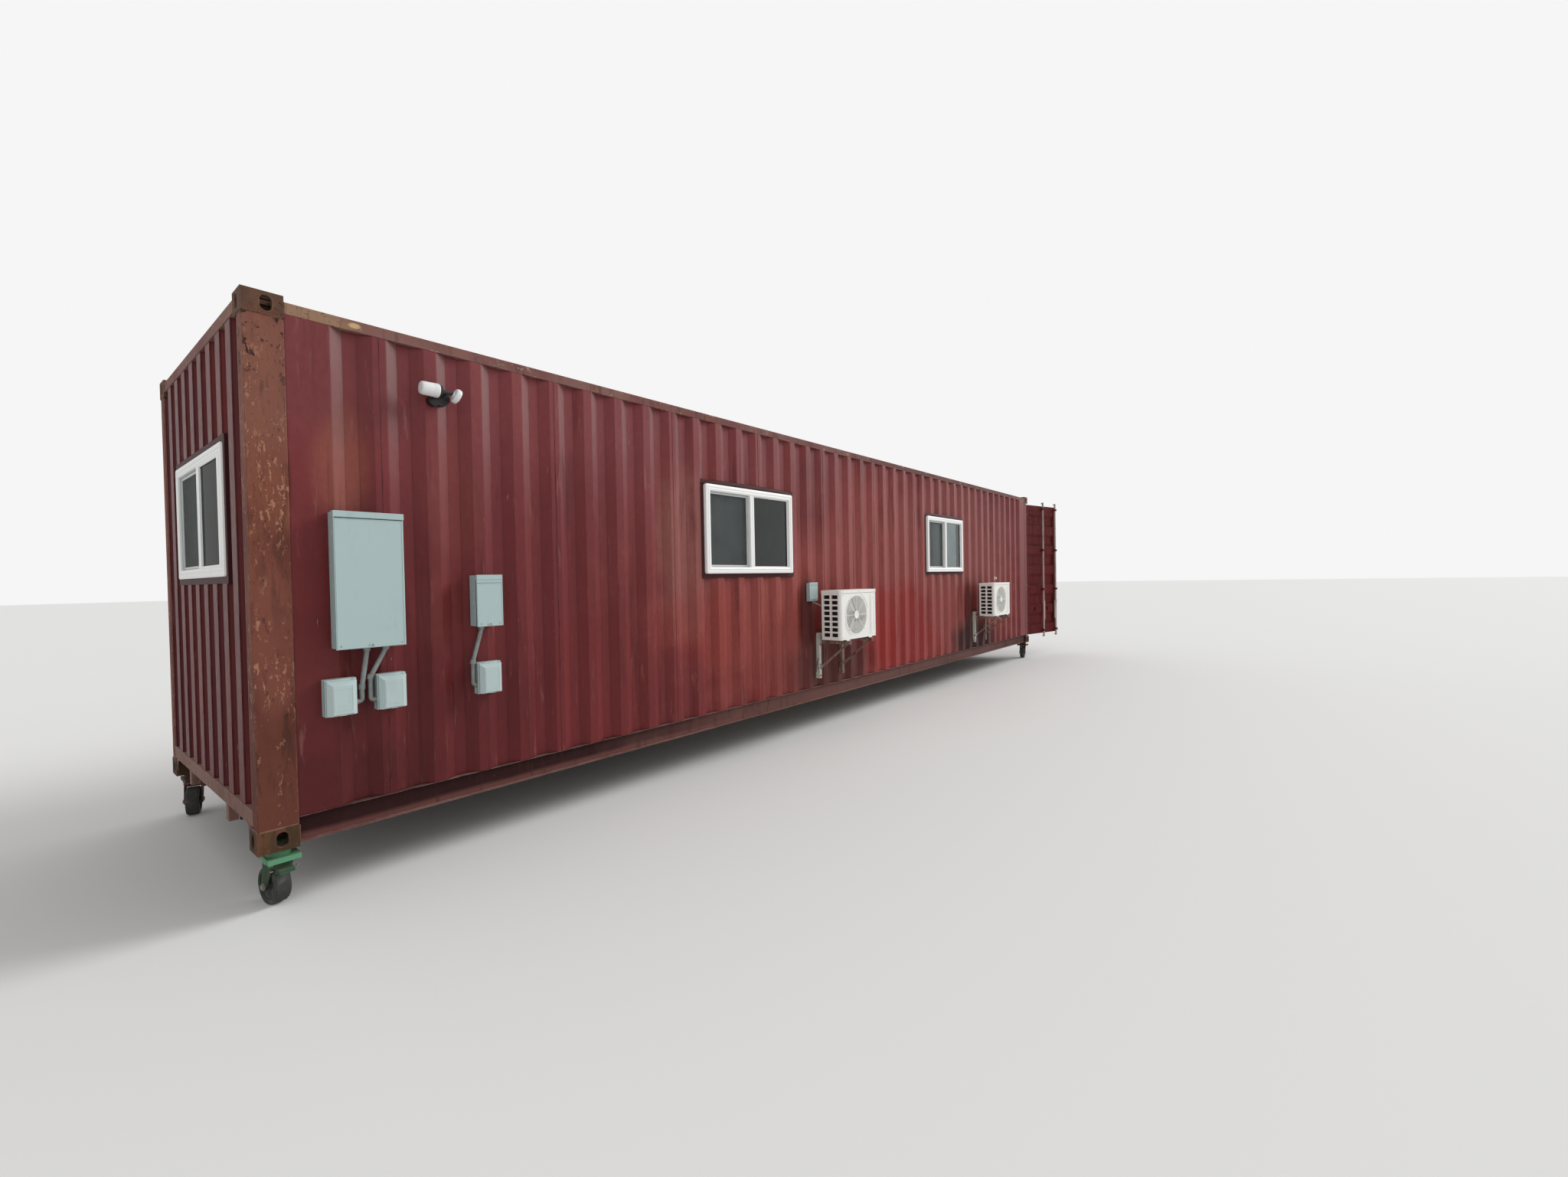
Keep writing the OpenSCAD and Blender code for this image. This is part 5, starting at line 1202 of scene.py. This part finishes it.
def caster_parts():
    """Plate bolts, bearing rings, axle nuts and hubs of the four casters."""
    plate_low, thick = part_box("caster_plates")[0].z, 0.026
    hub_bolts, hub_bolt_ring = 5, 0.050
    for side in ("near", "far"):
        for end in ("left", "right"):
            name = f"{side}_{end}"
            swivel = Vector(joints[f"{name}_swivel"]["pos_m"])
            roll = Vector(joints[f"{name}_roller"]["pos_m"])
            ahead = Vector((roll.x - swivel.x, roll.y - swivel.y, 0)).normalized()
            across = Vector((0, 0, 1)).cross(ahead)
            green = name == "near_left"
            # Bolts through the corners of the plate, and the ring round the king pin
            bolts = bmesh.new()
            inwards = 0.008 if end == "left" else -0.008
            plate = Vector((swivel.x + inwards, swivel.y, plate_low + thick))
            above = placing(plate, UPWARDS)
            below = placing(plate - Vector((0, 0, thick)), DOWNWARDS)
            for u in (-0.055, 0.055):
                for v in (-0.072, 0.072):
                    bolt(bolts, above, (u, v), 0.008)
                    bolt(bolts, below, (u, v), 0.008, washer=False)
            turned(bolts, above, ((0.064, -0.001), (0.064, 0.005), (0.061, 0.008), (0.0552, 0.008)),
                   48, centre=(-inwards, 0))
            piece(f"{name}_plate_bolts", bolts, "bolts")
            fork = bmesh.new()
            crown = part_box(f"{name}_fork")[1].z
            at = placing(Vector((swivel.x, swivel.y, crown)), UPWARDS)
            turned(fork, at, ((0.0505, -0.016), (0.053, -0.014), (0.053, -0.006), (0.0505, -0.003)),
                   48)
            for way in (-1, 1):
                at = placing(roll + across * way * 0.052, (ahead, (0, 0, way), across * way))
                turned(fork, at, ((0.019, -0.001), (0.019, 0.002)), 28)
                turned(fork, at, ((0.015, 0.001), (0.015, 0.0085)), 6)
            piece(f"{name}_fork_fittings", fork, "bolts", f"{name}_swivel", 0.0006)
            hub = bmesh.new()
            for way in (-1, 1):
                at = placing(roll, (ahead, (0, 0, way), across * way))
                for k in range(hub_bolts):
                    turn = math.tau * k / hub_bolts
                    place = (hub_bolt_ring * math.cos(turn), hub_bolt_ring * math.sin(turn))
                    bolt(hub, at, place, 0.0055, 0.025, washer=False)
                turned(hub, at, ((0.071, 0.024), (0.070, 0.0275), (0.067, 0.0275), (0.066, 0.024)),
                       64, closed=True)
            piece(f"{name}_hub_bolts", hub, "fork_green" if green else "caster_red",
                  f"{name}_roller")


window_parts()
unit_parts()
bracket_parts()
box_parts()
conduit_parts()
lamp_parts()
casting_parts()
wall_parts()
door_parts()
caster_parts()

for width, names in (
        (0.005, "top_corner_castings under_corner_castings front_corner_posts"),
        (0.004, "rear_corner_posts top_side_rails"),
        (0.003, "bottom_side_rails front_header front_sill door_header door_sill disconnect_box"),
        (0.003, "caster_plates"), (0.0025, "main_panel sub_panel"),
        (0.002, "window_surrounds unit_casings unit_brackets outlet_boxes")):
    for name in names.split():
        round_node(name, width)


# Stage, light and camera

@material_maker
def stage_finish(tree, shader):
    shader["Base Color"].default_value = (0.72, 0.72, 0.71, 1)
    shader["Roughness"].default_value = 0.9
    shader["Specular IOR Level"].default_value = 0.1


def make_stage():
    size = 120.0
    mesh = bpy.data.meshes.new("studio floor")
    mesh.from_pydata([(-size, -size, 0), (size, -size, 0), (size, size, 0), (-size, size, 0)], [],
                     [(0, 1, 2, 3)])
    floor = bpy.data.objects.new("studio_floor", mesh)
    bpy.context.collection.objects.link(floor)
    mesh.materials.append(stage_finish("pale studio floor"))


def make_light():
    """Soft light that comes mostly from the door end and above."""
    world = bpy.data.worlds.new("soft studio")
    bpy.context.scene.world = world
    world.use_nodes = True
    tree = world.node_tree
    background = tree.nodes["Background"]
    parts = parts_of(tree, add(tree, "TexCoord").outputs["Generated"])
    blind_end, door_end, backdrop = 0.55, 1.0, 0.92
    level = add(tree, "MapRange", {0: parts["X"], 1: -1.0, 2: 1.0, 3: blind_end,
                4: door_end}).outputs[0]
    path = add(tree, "LightPath").outputs
    shown = path["Is Camera Ray"]
    for ray in ("Is Glossy Ray", "Is Transmission Ray"):
        shown = maths(tree, "MAXIMUM", shown, path[ray])
    level = add(tree, "Mix", {0: shown, 2: level, 3: backdrop}, data_type="FLOAT").outputs[0]
    tree.links.new(level, background.inputs["Strength"])
    background.inputs["Color"].default_value = (1, 1, 1, 1)
    light = bpy.data.lights.new("soft sun", "SUN")
    light.energy = 1.7
    light.angle = math.radians(25)
    lamp = bpy.data.objects.new("soft_sun", light)
    lamp.rotation_mode = "QUATERNION"
    lamp.rotation_quaternion = Vector((0.85, -0.32, 0.5)).to_track_quat("Z", "Y")
    bpy.context.collection.objects.link(lamp)


def make_camera():
    camera = bpy.data.cameras.new("photo view")
    camera.sensor_width = 36.0
    camera.lens = 14.508
    camera.clip_end = 400
    eye = bpy.data.objects.new("photo_view", camera)
    right = Vector((0.62435, -0.78093, -0.01816))
    ahead = Vector((0.78076, 0.62460, -0.01681))
    up = right.cross(ahead)
    turn = Matrix((right, up, -ahead)).transposed().to_4x4()
    eye.matrix_world = Matrix.Translation(on_shell(-0.8049, -4.1028, 1.3755)) @ turn
    bpy.context.collection.objects.link(eye)
    bpy.context.scene.camera = eye


make_stage()
make_light()
make_camera()
bpy.context.scene.view_settings.view_transform = "Standard"
